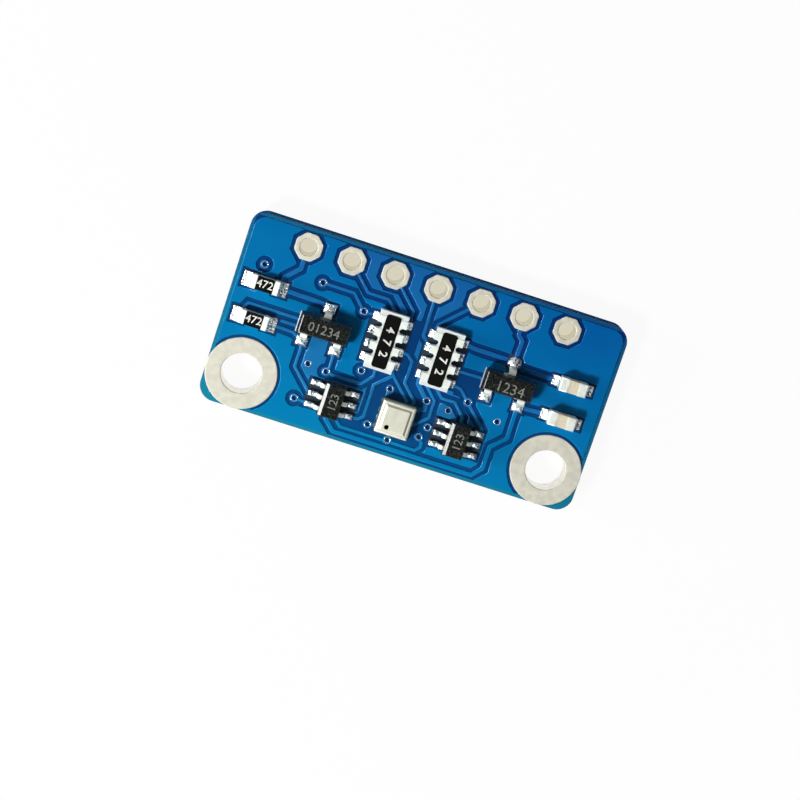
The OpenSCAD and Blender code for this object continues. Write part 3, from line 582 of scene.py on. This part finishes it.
def flat_outlines(form, height, facing):
    """Outlines of the flat faces at a height, as lists of points."""
    return [[vert.co.xy.copy() for vert in loop]
            for loop in rim_loops(flat_faces(form, height, facing))]


def spaced(loop, gap):
    """A closed loop without points closer than the gap to the one before."""
    kept = []
    for point in loop:
        if not kept or (point - kept[-1]).length >= gap:
            kept.append(point)
    while len(kept) > 3 and (kept[0] - kept[-1]).length < gap:
        kept.pop()
    return kept


def inset(loop, distance, facing):
    """A closed loop moved inwards by a distance, with mitred corners."""
    moved = []
    for i, point in enumerate(loop):
        before = (point - loop[i - 1]).normalized()
        after = (loop[(i + 1) % len(loop)] - point).normalized()
        inwards = Vector((-before.y - after.y, before.x + after.x)) * facing
        spread = max(1 + before.dot(after), 0.5)
        moved.append(point + inwards * (distance / spread))
    return moved


def turns_round(points, rings):
    """How many times the rings turn round each point."""
    x1, y1 = np.array([p for ring in rings for p in ring]).T
    x2, y2 = np.array([p for ring in rings for p in ring[1:] + ring[:1]]).T
    x, y = np.array(points).T[:, :, None]
    left = (x2 - x1) * (y - y1) - (x - x1) * (y2 - y1)
    up = (y1 <= y) & (y2 > y) & (left > 0)
    down = (y1 > y) & (y2 <= y) & (left < 0)
    return up.sum(axis=1) - down.sum(axis=1)


def fill_flat(form, rings, facing, cuts=()):
    """Fills the area that rings of corners at one height enclose, and leaves the holes in it
    open. Cuts are more rings, along which the filling is only divided."""
    edges = []
    corners = []
    for ring in (*rings, *cuts):
        first = len(corners)
        corners += ring
        edges += [(first + i, first + (i + 1) % len(ring)) for i in range(len(ring))]
    # Kind 1 asks for triangles all over, up to the outermost ring
    points, _, triangles, sources, _, _ = delaunay_2d_cdt(
        [v.co.xy for v in corners], edges, [], 1, 1e-6)
    level = corners[0].co.z
    verts = [corners[source[0]] if source else form.verts.new((*point, level))
             for point, source in zip(points, sources)]
    middles = [sum((points[i] for i in triangle), Vector((0, 0))) / 3 for triangle in triangles]
    turns = turns_round(middles, [[v.co.xy for v in ring] for ring in rings])
    return [form.faces.new([verts[i] for i in triangle[::facing]])
            for triangle, turn in zip(triangles, turns) if turn * facing > 0]


def inlay(form, height, facing, inlays):
    """Divides a flat face along outlines. Each inlay is some outlines and the number of the
    material inside them."""
    faces = flat_faces(form, height, facing)
    rings = rim_loops(faces)
    ground = next(iter(faces)).material_index
    bmesh.ops.delete(form, geom=list(faces), context="FACES")
    cuts = [[form.verts.new((*point, height)) for point in outline]
            for outlines, _ in inlays for outline in outlines]
    filled = fill_flat(form, rings, facing, cuts)
    for face in filled:
        face.material_index = ground
    middles = [face.calc_center_median().xy for face in filled]
    for outlines, number in inlays:
        for face, turn in zip(filled, turns_round(middles, outlines)):
            if turn:
                face.material_index = number
    bmesh.ops.delete(form, geom=[v for v in form.verts if not v.link_faces], context="VERTS")


def masked_sheet(node, outer_z, facing, slope):
    """A copper layer whose rims slope down to the laminate under the solder mask."""
    whole = clean_form(node)
    loops = [spaced(loop, POINT_GAP) for loop in flat_outlines(whole, outer_z, facing)]
    whole.free()
    loops = [loop for loop in loops if len(loop) > 2]
    # How far in and how far down each row lies, as shares of the slope's width and height
    profile = [(0, 1), (0.3, 0.45), (0.62, 0.12), (1, 0)]
    form = bmesh.new()
    rows = [[[form.verts.new((p.x, p.y, outer_z - facing * depth * COPPER_T))
              for p in inset(loop, reach * slope, facing)] for loop in loops]
            for reach, depth in profile]
    for lower, upper in zip(rows, rows[1:]):
        for low, high in zip(lower, upper):
            for i in range(len(low)):
                form.faces.new((low[i - 1], low[i], high[i], high[i - 1])).smooth = True
    bmesh.ops.reverse_faces(form, faces=fill_flat(form, rows[0], facing))
    fill_flat(form, rows[-1], facing)
    return form


def loose_parts(items, near):
    """The items that hang together, one list after another; near gives an item's neighbours."""
    left = dict.fromkeys(items)
    while left:
        reached = [left.popitem()[0]]
        for item in reached:
            for other in near(item):
                if other in left:
                    del left[other]
                    reached.append(other)
        yield reached


def mark_traces(form):
    """Gives material 1 to each island of copper that is smaller than a pour."""
    for island in loose_parts(form.faces, lambda face: (
            other for edge in face.edges for other in edge.link_faces)):
        # Both faces of the copper count in the area
        small = sum(face.calc_area() for face in island) < 2 * LEAST_POUR
        for face in island:
            face.material_index = int(small)


def ring_solid(centre, rings, count):
    """A closed solid from rings of points; each ring is its radius at an angle, and its height."""
    form = bmesh.new()
    angles = [FULL_TURN * i / count for i in range(count)]
    rows = [[form.verts.new((
        centre[0] + radius_at(a) * math.cos(a), centre[1] + radius_at(a) * math.sin(a), height))
        for a in angles] for radius_at, height in rings]
    for low, high in zip(rows, rows[1:] + rows[:1]):
        for i in range(count):
            j = (i + 1) % count
            form.faces.new((low[i], low[j], high[j], high[i])).smooth = True
    bmesh.ops.remove_doubles(form, verts=form.verts, dist=WELD)
    bmesh.ops.recalc_face_normals(form, faces=form.faces)
    return form


def take_in(form, mesh):
    """Adds a mesh to a form; the mesh itself is taken away."""
    form.from_mesh(mesh)
    bpy.data.meshes.remove(mesh)


def steady(radius):
    """The same radius at every angle."""
    return lambda angle: radius


def moved_in(radius, reach):
    """An outline moved inwards by a distance."""
    return lambda angle: radius(angle) - reach


def tinned_rings(outer, hole_r, crown):
    """Rings of a plated hole with levelled tin on its upper land. They run from the rim inwards,
    down the barrel, out over the flat lower land and back along the outside of the barrel."""
    hole = steady(hole_r)
    barrel = steady(hole_r + BARREL_T)
    # Distance from the edge of the land, and share of the crown's height
    roll = [(0, -0.5), (0.006, 0.2), (0.02, 0.6), (0.045, 0.88), (0.1, 1)]
    rings = [(outer, TOP - COPPER_T)]
    rings += [(moved_in(outer, reach), TOP + rise * crown) for reach, rise in roll]
    rings += [(moved_in(hole, -reach), TOP + rise * crown) for reach, rise in roll[::-1]]
    # Below, the edges are broken by a few hundredths
    rings += [(hole, TOP / 2), (hole, 0.03), (moved_in(hole, -0.02), 0.0)]
    rings += [(moved_in(outer, 0.02), 0.0), (outer, 0.02), (outer, COPPER_T)]
    return rings + [(barrel, COPPER_T), (barrel, TOP - COPPER_T)]


def plated_hole(centre, outer, hole_r, crown, count):
    """A plated hole in one form. Its barrel's inside gets material 1."""
    form = ring_solid(centre, tinned_rings(outer, hole_r, crown), count)
    for face in form.faces:
        middle = face.calc_center_median().xy - Vector(centre)
        face.material_index = int(middle.length < hole_r + WELD)
    return form


def octagon(across):
    """Outline of a regular eight-sided land with softened corners, as a radius at each angle."""
    side = FULL_TURN / 8

    def radius(angle):
        from_flat = angle - round(angle / side) * side
        return across / 2 * min(1 / math.cos(from_flat), CORNER_REACH)
    return radius


def loose_boxes(node):
    """Lowest and highest corner of each separate part of a CAD node."""
    form = clean_form(node)
    boxes = [[Vector(map(pick, *(vert.co for vert in part))) for pick in (min, max)]
             for part in loose_parts(form.verts, lambda vert: (
                 edge.other_vert(vert) for edge in vert.link_edges))]
    form.free()
    return boxes


def is_joint(node):
    """Whether a node is solder that shows beside a part."""
    return node.endswith("_solder") and node != "sensor_solder"


def joint_windows(clearance):
    """Openings in the mask round the solder joints and leads, as rectangles. Neighbours share
    one."""
    boxes = []
    for node in sorted(frame["nodes"]):
        if is_joint(node) or node.endswith("_leads"):
            boxes += loose_boxes(node)
    windows = []
    for low, high in boxes:
        low, high = low.xy, high.xy
        for other in windows[:]:
            if all(low[i] < other[1][i] + GANG and high[i] > other[0][i] - GANG for i in (0, 1)):
                windows.remove(other)
                low = Vector(map(min, low, other[0]))
                high = Vector(map(max, high, other[1]))
        windows.append((low, high))
    reach = Vector((clearance, clearance))
    corners = [(*(low - reach), *(high + reach)) for low, high in windows]
    return [[(x1, y1), (x2, y1), (x2, y2), (x1, y2)] for x1, y1, x2, y2 in corners]


class BOARD_OT_laminate(bpy.types.Operator):
    """Finish the glass-epoxy board: masked faces, clear margins, openings and a routed edge"""
    bl_idname = "board.laminate"
    bl_label = "Laminate"

    def execute(self, context):
        shapes = context.scene.board_shapes
        form = clean_form("laminate")
        for face in form.faces:
            face.material_index = 1 if abs(face.normal.z) > UPRIGHT else 2
        # The openings round the joints get the dark etched laminate, which also serves as painted
        # shade there
        windows = joint_windows(shapes.opening / MM)
        inlay(form, BOARD_HIGH.z, 1, [([self.copper_area()], 0), (windows, 3)])
        inlay(form, BOARD_LOW.z, -1, [([self.copper_area()], 0)])
        bmesh.ops.triangulate(form, faces=form.faces)
        rim = [e for e in form.edges if len(e.link_faces) == 2
               and {f.material_index for f in e.link_faces} == {1, 2}]
        bmesh.ops.bevel(form, geom=rim, offset=shapes.board_round / MM, segments=2, profile=0.5,
                        affect="EDGES")
        mesh = mesh_of(form)
        mesh.set_sharp_from_angle(angle=BOARD_CREASE)
        put_piece("laminate_routed", mesh, ["bare", "clear", "edge", "opening"], ["laminate"],
                  "laminate")
        return {"FINISHED"}

    def copper_area(self):
        """Outline of the area with copper on either face. It leaves out the margins and the corners
        beyond the fixing holes, and turns those corners under the rings."""
        x, y = COPPER_HIGH.xy
        ring_r = box_mm("fixing_ring_left")[1].y - FIX_Y
        turn = (FIX_R + ring_r) / 2
        slant = turn * math.sqrt(0.5)
        half = [(x, y), (x, FIX_Y), (FIX_X + turn, FIX_Y), (FIX_X + slant, FIX_Y - slant),
                (FIX_X, FIX_Y - turn), (FIX_X, -y)]
        return half + [(-px, py) for px, py in reversed(half)]


class BOARD_OT_copper(bpy.types.Operator):
    """Finish the copper of both faces, with the solder mask sloping down its sides"""
    bl_idname = "board.copper"
    bl_label = "Masked copper"

    def execute(self, context):
        slope = context.scene.board_shapes.mask_slope / MM
        for node, outer_z, facing in (("top_copper", TOP, 1), ("bottom_copper", 0.0, -1)):
            form = masked_sheet(node, outer_z, facing, slope)
            mark_traces(form)
            put_piece(f"{node}_masked", mesh_of(form), ["pour", "trace"], [node], "masked_copper")
        return {"FINISHED"}


class BOARD_OT_vias(bpy.types.Operator):
    """Finish the vias: tinned rims round barrels that the solder mask has sagged into"""
    bl_idname = "board.vias"
    bl_label = "Vias"

    def execute(self, context):
        dimple = context.scene.board_shapes.via_dimple / MM
        rim = context.scene.board_shapes.via_rim / MM
        under = TOP - COPPER_T
        vias = bmesh.new()
        rims = bmesh.new()
        # Share of the rim's width, and height over the copper
        lip = [(0.0, -COPPER_T), (0.06, 0.0), (0.4, 0.016), (0.8, 0.01), (1.0, -COPPER_T)]
        # Share of the barrel's radius, and share of the dimple's depth under the copper
        sagged = [(1.0, 0.0), (0.88, 0.1), (0.7, 0.34), (0.5, 0.66), (0.25, 0.92), (0.0, 1.0)]
        for low, high in loose_boxes("via_barrels"):
            centre = (low + high) / 2
            outer = (high.x - low.x) / 2
            rings = [(steady(outer * share), under - depth * dimple) for share, depth in sagged]
            rings += [(steady(outer * share), COPPER_T + depth * dimple)
                      for share, depth in sagged[::-1]]
            take_in(vias, mesh_of(ring_solid(centre, rings, VIA_POINTS)))
            # Six tenths of the rim lie over the mask's sagging edge
            rings = [(steady(outer + (share - 0.6) * rim), TOP + rise) for share, rise in lip]
            take_in(rims, mesh_of(ring_solid(centre, rings, VIA_POINTS)))
        put_piece("vias_tented", mesh_of(vias), ["trace"], ["via_barrels"], "via_copper",
                  even=False)
        put_piece("via_rims_tinned", mesh_of(rims), ["solder"], slot="tinned_copper", even=False)
        return {"FINISHED"}


class BOARD_OT_holes(bpy.types.Operator):
    """Finish the plated holes: header lands and fixing rings with levelled tin"""
    bl_idname = "board.holes"
    bl_label = "Plated holes"

    def execute(self, context):
        crown = context.scene.board_shapes.tin_crown / MM
        for i in range(1, 8):
            node = f"header_pad_{i}"
            low, high = box_mm(node)
            hole_r = MOUNTS[f"header_hole_{i}"]["dims"]["r_mm"]
            self.put_hole(node, plated_hole(
                (low + high).xy / 2, octagon(high.x - low.x), hole_r, crown, HEADER_POINTS))
        for side, node in ((-1, "fixing_ring_left"), (1, "fixing_ring_right")):
            low, high = box_mm(node)
            form = plated_hole(
                (side * FIX_X, FIX_Y), steady(high.y - FIX_Y), FIX_R, crown, FIXING_POINTS)
            # The ring ends where the board ends
            for vert in form.verts:
                vert.co.x = min(max(vert.co.x, low.x), high.x)
                vert.co.y = min(max(vert.co.y, low.y), high.y)
            self.put_hole(node, form)
        return {"FINISHED"}

    def put_hole(self, node, form):
        """Puts a plated hole in place of its node."""
        put_piece(f"{node}_tinned", mesh_of(form), ["tin", "barrel"], [node], "tinned_copper")


def reflowed(node, shapes):
    """A CAD node's solder with the soft, slightly uneven form of a joint that has melted."""
    mesh = worked(
        mesh_of(clean_form(node)),
        ("REMESH", {"mode": "VOXEL", "voxel_size": shapes.grain / MM, "use_smooth_shade": True}),
        ("SMOOTH", {"factor": 0.5, "iterations": 7}))
    # Nine ripples go to a millimetre
    ripple = shapes.solder_ripple / MM
    moved = [vert.co + vert.normal * ripple * noise.noise(vert.co * 9) for vert in mesh.vertices]
    mesh.vertices.foreach_set("co", [part for place in moved for part in place])
    mesh.update()
    return mesh


class BOARD_OT_solder(bpy.types.Operator):
    """Finish the solder joints of the chips and the packages"""
    bl_idname = "board.solder"
    bl_label = "Solder joints"

    def execute(self, context):
        shapes = context.scene.board_shapes
        for node in sorted(frame["nodes"]):
            if is_joint(node):
                put_piece(f"{node}_reflowed", reflowed(node, shapes), ["solder"], [node], "solder",
                          even=False)
        return {"FINISHED"}


class BOARD_OT_chips(bpy.types.Operator):
    """Finish the resistors, the resistor arrays and the capacitors"""
    bl_idname = "board.chips"
    bl_label = "Ceramic chips"

    def execute(self, context):
        edge = context.scene.board_shapes.chip_round
        # Layer, what was done to it, its finish, its slot, its share of the rounding, and the angle
        # from which its edges are rounded
        resistor = (
            ("ceramic", "fired", "alumina", "alumina", 0.5, 35),
            ("coat", "printed", "coat", "glass_coat", 0.4, 35),
            ("terminals", "plated", "plating", "plated_terminal", 0.4, 35),
        )
        capacitor = (
            ("ceramic", "fired", "ceramic", "capacitor_ceramic", 1, 60),
            ("caps", "plated", "plating", "plated_terminal", 0.3, 60),
        )
        kinds = {"resistor": resistor, "array": resistor, "capacitor": capacitor}
        for kind, layers in kinds.items():
            for part in (f"{kind}_1", f"{kind}_2"):
                for layer, process, look, slot, share, angle in layers:
                    put_rounded(f"{part}_{layer}", process, look, slot, edge * share, angle)
        return {"FINISHED"}


def raise_flash(form, height):
    """Draws out the fine ridge that the two halves of a mould leave at both ends of a moulding, at
    its widest level."""
    reach = [max(v.co[i] for v in form.verts) - min(v.co[i] for v in form.verts) for i in (0, 1)]
    axis = reach.index(max(reach))
    far = max(form.verts, key=lambda vert: vert.co[axis])
    middle = far.co[axis] - reach[axis] / 2
    for side in (-1, 1):
        bmesh.ops.bisect_plane(
            form, geom=form.verts[:] + form.edges[:] + form.faces[:],
            plane_co=(0, 0, far.co.z + side * height), plane_no=(0, 0, 1))
    for vert in form.verts:
        out = vert.co[axis] - middle
        if abs(vert.co.z - far.co.z) < WELD and abs(out) > reach[axis] / 2 - WELD:
            vert.co[axis] += math.copysign(height, out)


def printed(text, height, ink_t, bold):
    """A mesh of print, centred, with digits of a given height. Bold widens its strokes."""
    curve = bpy.data.curves.new("print", "FONT")
    curve.body = text
    # Digits of the built-in font are 0.73 of its size high
    curve.size = height / 0.73
    curve.align_x = "CENTER"
    curve.align_y = "CENTER"
    curve.offset = height * bold
    curve.extrude = ink_t
    curve.resolution_u = 3
    return take_mesh(add_object("print", curve))


def print_outlines(text, height, place, turn):
    """Outlines of a line of print at a place, turned by an angle."""
    mesh = printed(text, height, 0, 0)
    mesh.transform(Matrix.Translation((*place, 0)) @ Matrix.Rotation(turn, 4, "Z"))
    form = bmesh.new()
    take_in(form, mesh)
    bmesh.ops.remove_doubles(form, verts=form.verts, dist=WELD / 10)
    outlines = flat_outlines(form, 0, 1)
    form.free()
    return outlines


class BOARD_OT_packages(bpy.types.Operator):
    """Finish the moulded packages and their formed leads, and mark plain numbers on them"""
    bl_idname = "board.packages"
    bl_label = "Moulded packages"

    def execute(self, context):
        shapes = context.scene.board_shapes
        # Number, height of its digits, place from the middle of the body, and turn
        marks = {
            "transistor": ("01234", 0.54, (0.0, -0.05), 0.0),
            "regulator": ("1234", 0.62, (0.1, -0.13), 0.0),
            "shifter_1": ("123", 0.5, (0.1, 0.0), math.pi / 2),
            "shifter_2": ("123", 0.5, (0.1, 0.0), math.pi / 2),
        }
        for part, (text, height, offset, turn) in marks.items():
            body = f"{part}_body"
            low, high = box_mm(body)
            form = bmesh.new()
            take_in(form, rounded(body, shapes.mould_edge, 30, 1))
            raise_flash(form, shapes.flash / MM)
            place = (low + high).xy / 2 + Vector(offset)
            inlay(form, high.z, 1, [(print_outlines(text, height, place, turn), 1)])
            mesh = mesh_of(form)
            mesh.set_sharp_from_angle(angle=MOULD_CREASE)
            put_piece(f"{body}_moulded", mesh, ["moulding", "mark"], [body], "moulding", even=False)
            put_rounded(
                f"{part}_leads", "formed", "plating", "lead_frame", shapes.lead_round, 45)
        return {"FINISHED"}


class BOARD_OT_sensor(bpy.types.Operator):
    """Finish the sensor: its drawn lid, its base and what lies under the lid"""
    bl_idname = "board.sensor"
    bl_label = "Sensor"

    def execute(self, context):
        edge = context.scene.board_shapes.lid_round
        put_rounded("sensor_lid", "drawn", "lid", "lid_steel", edge, 20)
        put_rounded("sensor_base", "cut", "base", "sensor_base", edge)
        carried = {"sensor_die": "silicon", "sensor_chip": "silicon", "sensor_wires": "gold",
                   "sensor_solder": "solder"}
        for node, look in carried.items():
            data = frame["nodes"][node].data
            data.materials.clear()
            data.materials.append(finish(look))
        return {"FINISHED"}


class BOARD_OT_codes(bpy.types.Operator):
    """Print generic value codes on the resistors' glass coats"""
    bl_idname = "board.codes"
    bl_label = "Value codes"

    def execute(self, context):
        ink_t = context.scene.board_shapes.ink_t / MM
        # Digits are 0.46 mm high on a resistor, and 0.48 mm high and bolder on an array
        for part in ("resistor_1", "resistor_2"):
            mesh = printed(CODE, 0.46, ink_t, 0.01)
            mesh.transform(self.on_coat(part))
            put_piece(f"{part}_code_printed", mesh, ["ink"], even=False)
        # An array's digits stand one below the other, 0.71 mm apart
        for part in ("array_1", "array_2"):
            form = bmesh.new()
            for digit, along in zip(CODE, (0.71, 0.0, -0.71)):
                mesh = printed(digit, 0.48, ink_t, 0.03)
                mesh.transform(self.on_coat(part, along) @ Matrix.Rotation(-math.pi / 2, 4, "Z"))
                take_in(form, mesh)
            put_piece(f"{part}_code_printed", mesh_of(form), ["ink"], even=False)
        return {"FINISHED"}

    def on_coat(self, part, along=0.0):
        """Puts print on the middle of a part's glass coat, or so far along it."""
        low, high = box_mm(f"{part}_coat")
        return Matrix.Translation(((low.x + high.x) / 2, (low.y + high.y) / 2 + along, high.z))


def aim(thing, target):
    """Turns a lamp or a camera to look at a point."""
    thing.rotation_mode = "QUATERNION"
    thing.rotation_quaternion = (Vector(target) - thing.location).to_track_quat("-Z", "Y")


def add_lamp(name, azimuth, elevation, distance, size, level):
    """A square lamp aimed at the board. Level is the lit share of a white surface that faces it."""
    data = bpy.data.lights.new(name, "AREA")
    data.size = size * MM
    # A small lamp's light on a surface is its power over pi and the distance squared
    data.energy = level * math.pi ** 2 * (distance * MM) ** 2
    lamp = add_object(name, data)
    a, e = math.radians(azimuth), math.radians(elevation)
    lamp.location = Vector((
        math.cos(a) * math.cos(e), math.sin(a) * math.cos(e), math.sin(e))) * distance * MM
    aim(lamp, (0, 0, 0))


class BOARD_OT_stage(bpy.types.Operator):
    """Set up the pale floor, the soft light and the camera"""
    bl_idname = "board.stage"
    bl_label = "Stage"

    def execute(self, context):
        studio = context.scene.board_studio
        context.scene.view_settings.view_transform = "Standard"
        self.lay_floor()
        self.light_room(studio)
        for name, figures in LAMPS.items():
            add_lamp(f"{name}_lamp", *figures, getattr(studio, f"{name}_light"))
        self.set_camera(studio)
        return {"FINISHED"}

    def lay_floor(self):
        """A white floor that takes the shadow of the board and turns plain white further out. It is
        clear from below, so that the underside of the board can be looked at."""
        form = bmesh.new()
        bmesh.ops.create_grid(form, x_segments=1, y_segments=1, size=1.0)
        floor = add_object("floor", mesh_of(form))
        floor.location.z = -FLOOR_GAP * MM
        material = bpy.data.materials.new("white_paper")
        material.use_nodes = True
        tree = material.node_tree
        tree.nodes.clear()
        place = add_node(tree, "ShaderNodeTexCoord").outputs["Object"]
        # It is dimmer up to 25 mm from the middle of the board, and plain white from 60 mm on
        own_light = remap(tree, measure(tree, "LENGTH", place), 25 * MM, 60 * MM, 0.94, 1.0)
        # Under the row of narrow holes the paper lies in the board's shade
        from_row = measure(tree, "SUBTRACT", place, SHADE_MIDDLE)
        from_row = measure(tree, "LENGTH", measure(tree, "DIVIDE", from_row, SHADE_REACH))
        shine = blend(tree, remap(tree, from_row, 0.98, 1.0), (0.7, 0.66, 0.52, 1), (1, 1, 1, 1),
                      data_type="RGBA")
        path = add_node(tree, "ShaderNodeLightPath").outputs
        seen = compute(tree, "MAXIMUM", path["Is Camera Ray"], path["Is Glossy Ray"])
        seen = compute(tree, "MAXIMUM", seen, path["Is Transmission Ray"])
        paper = add_node(tree, "ShaderNodeBsdfDiffuse", {"Color": (0.9, 0.9, 0.9, 1)})
        glow = add_node(tree, "ShaderNodeEmission", {"Color": shine, "Strength": 1.0})
        upper = add_node(tree, "ShaderNodeMixShader", {
            0: compute(tree, "MULTIPLY", seen, own_light), 1: paper.outputs["BSDF"],
            2: glow.outputs["Emission"]})
        side = add_node(tree, "ShaderNodeNewGeometry").outputs["Backfacing"]
        clear = add_node(tree, "ShaderNodeBsdfTransparent")
        sheet = add_node(tree, "ShaderNodeMixShader", {
            0: compute(tree, "MAXIMUM", side, path["Is Shadow Ray"]), 1: upper.outputs["Shader"],
            2: clear.outputs["BSDF"]})
        add_node(tree, "ShaderNodeOutputMaterial", {"Surface": sheet.outputs["Shader"]})
        floor.data.materials.append(material)

    def light_room(self, studio):
        """White where it is seen, brighter at the left than at the right in reflections, and an
        even fill on the object."""
        world = bpy.data.worlds.new("studio")
        bpy.context.scene.world = world
        world.use_nodes = True
        tree = world.node_tree
        tree.nodes.clear()
        way = add_node(tree, "ShaderNodeTexCoord").outputs["Generated"]
        window = remap(tree, measure(tree, "DOT_PRODUCT", way, WINDOW_WAY), 0.05, 0.7, 0.02, 1.0,
                       interpolation_type="SMOOTHSTEP")
        # The viewer stands overhead and keeps the light off the middle 26 degrees of the sky
        height = add_node(tree, "ShaderNodeSeparateXYZ", {"Vector": way}).outputs["Z"]
        viewer = remap(tree, height, 0.9, 0.97, 1.0, 0.05, interpolation_type="SMOOTHSTEP")
        path = add_node(tree, "ShaderNodeLightPath").outputs
        room = blend(tree, path["Is Glossy Ray"], 1.0, compute(tree, "MULTIPLY", window, viewer))
        sky = add_node(tree, "ShaderNodeBackground", {
            "Color": (1, 1, 1, 1),
            "Strength": blend(tree, path["Is Diffuse Ray"], room, studio.fill)})
        add_node(tree, "ShaderNodeOutputWorld", {"Surface": sky.outputs["Background"]})

    def set_camera(self, studio):
        """A camera that stands where the photograph was taken from."""
        data = bpy.data.cameras.new("camera")
        data.sensor_width = SENSOR_WIDTH
        data.lens = studio.lens / MM
        data.clip_start = 10 * MM
        camera = add_object("camera", data)
        camera.location = Vector(CAMERA_PLACE) * MM
        aim(camera, Vector((*CAMERA_TARGET, TOP)) * MM)
        camera.rotation_quaternion = camera.rotation_quaternion @ Quaternion((0, 0, 1), CAMERA_ROLL)
        bpy.context.scene.camera = camera


class BOARD_PT_pieces(bpy.types.Panel):
    """Lists the steps and their settings"""
    bl_label = "Pressure Sensor Board"
    bl_idname = "BOARD_PT_pieces"
    bl_space_type = "VIEW_3D"
    bl_region_type = "UI"
    bl_category = "Board"

    def draw(self, context):
        for step in STEPS:
            self.layout.operator(step.bl_idname)
        for name, group in GROUPS.items():
            column = self.layout.column(align=True)
            for setting in group.__annotations__:
                column.prop(getattr(context.scene, name), setting)


GROUPS = {"board_shapes": BoardShapes, "board_colours": BoardColours, "board_studio": BoardStudio}
STEPS = (
    BOARD_OT_laminate, BOARD_OT_copper, BOARD_OT_vias, BOARD_OT_holes, BOARD_OT_solder,
    BOARD_OT_chips, BOARD_OT_packages, BOARD_OT_sensor, BOARD_OT_codes, BOARD_OT_stage)
CLASSES = (*GROUPS.values(), *STEPS, BOARD_PT_pieces)


def register():
    for part in CLASSES:
        bpy.utils.register_class(part)
    for name, group in GROUPS.items():
        setattr(bpy.types.Scene, name, PointerProperty(type=group))


def unregister():
    for name in GROUPS:
        delattr(bpy.types.Scene, name)
    for part in reversed(CLASSES):
        bpy.utils.unregister_class(part)


def main():
    register()
    bpy.ops.board.laminate()
    bpy.ops.board.copper()
    bpy.ops.board.vias()
    bpy.ops.board.holes()
    bpy.ops.board.solder()
    bpy.ops.board.chips()
    bpy.ops.board.packages()
    bpy.ops.board.sensor()
    bpy.ops.board.codes()
    bpy.ops.board.stage()


if __name__ == "__main__":
    main()
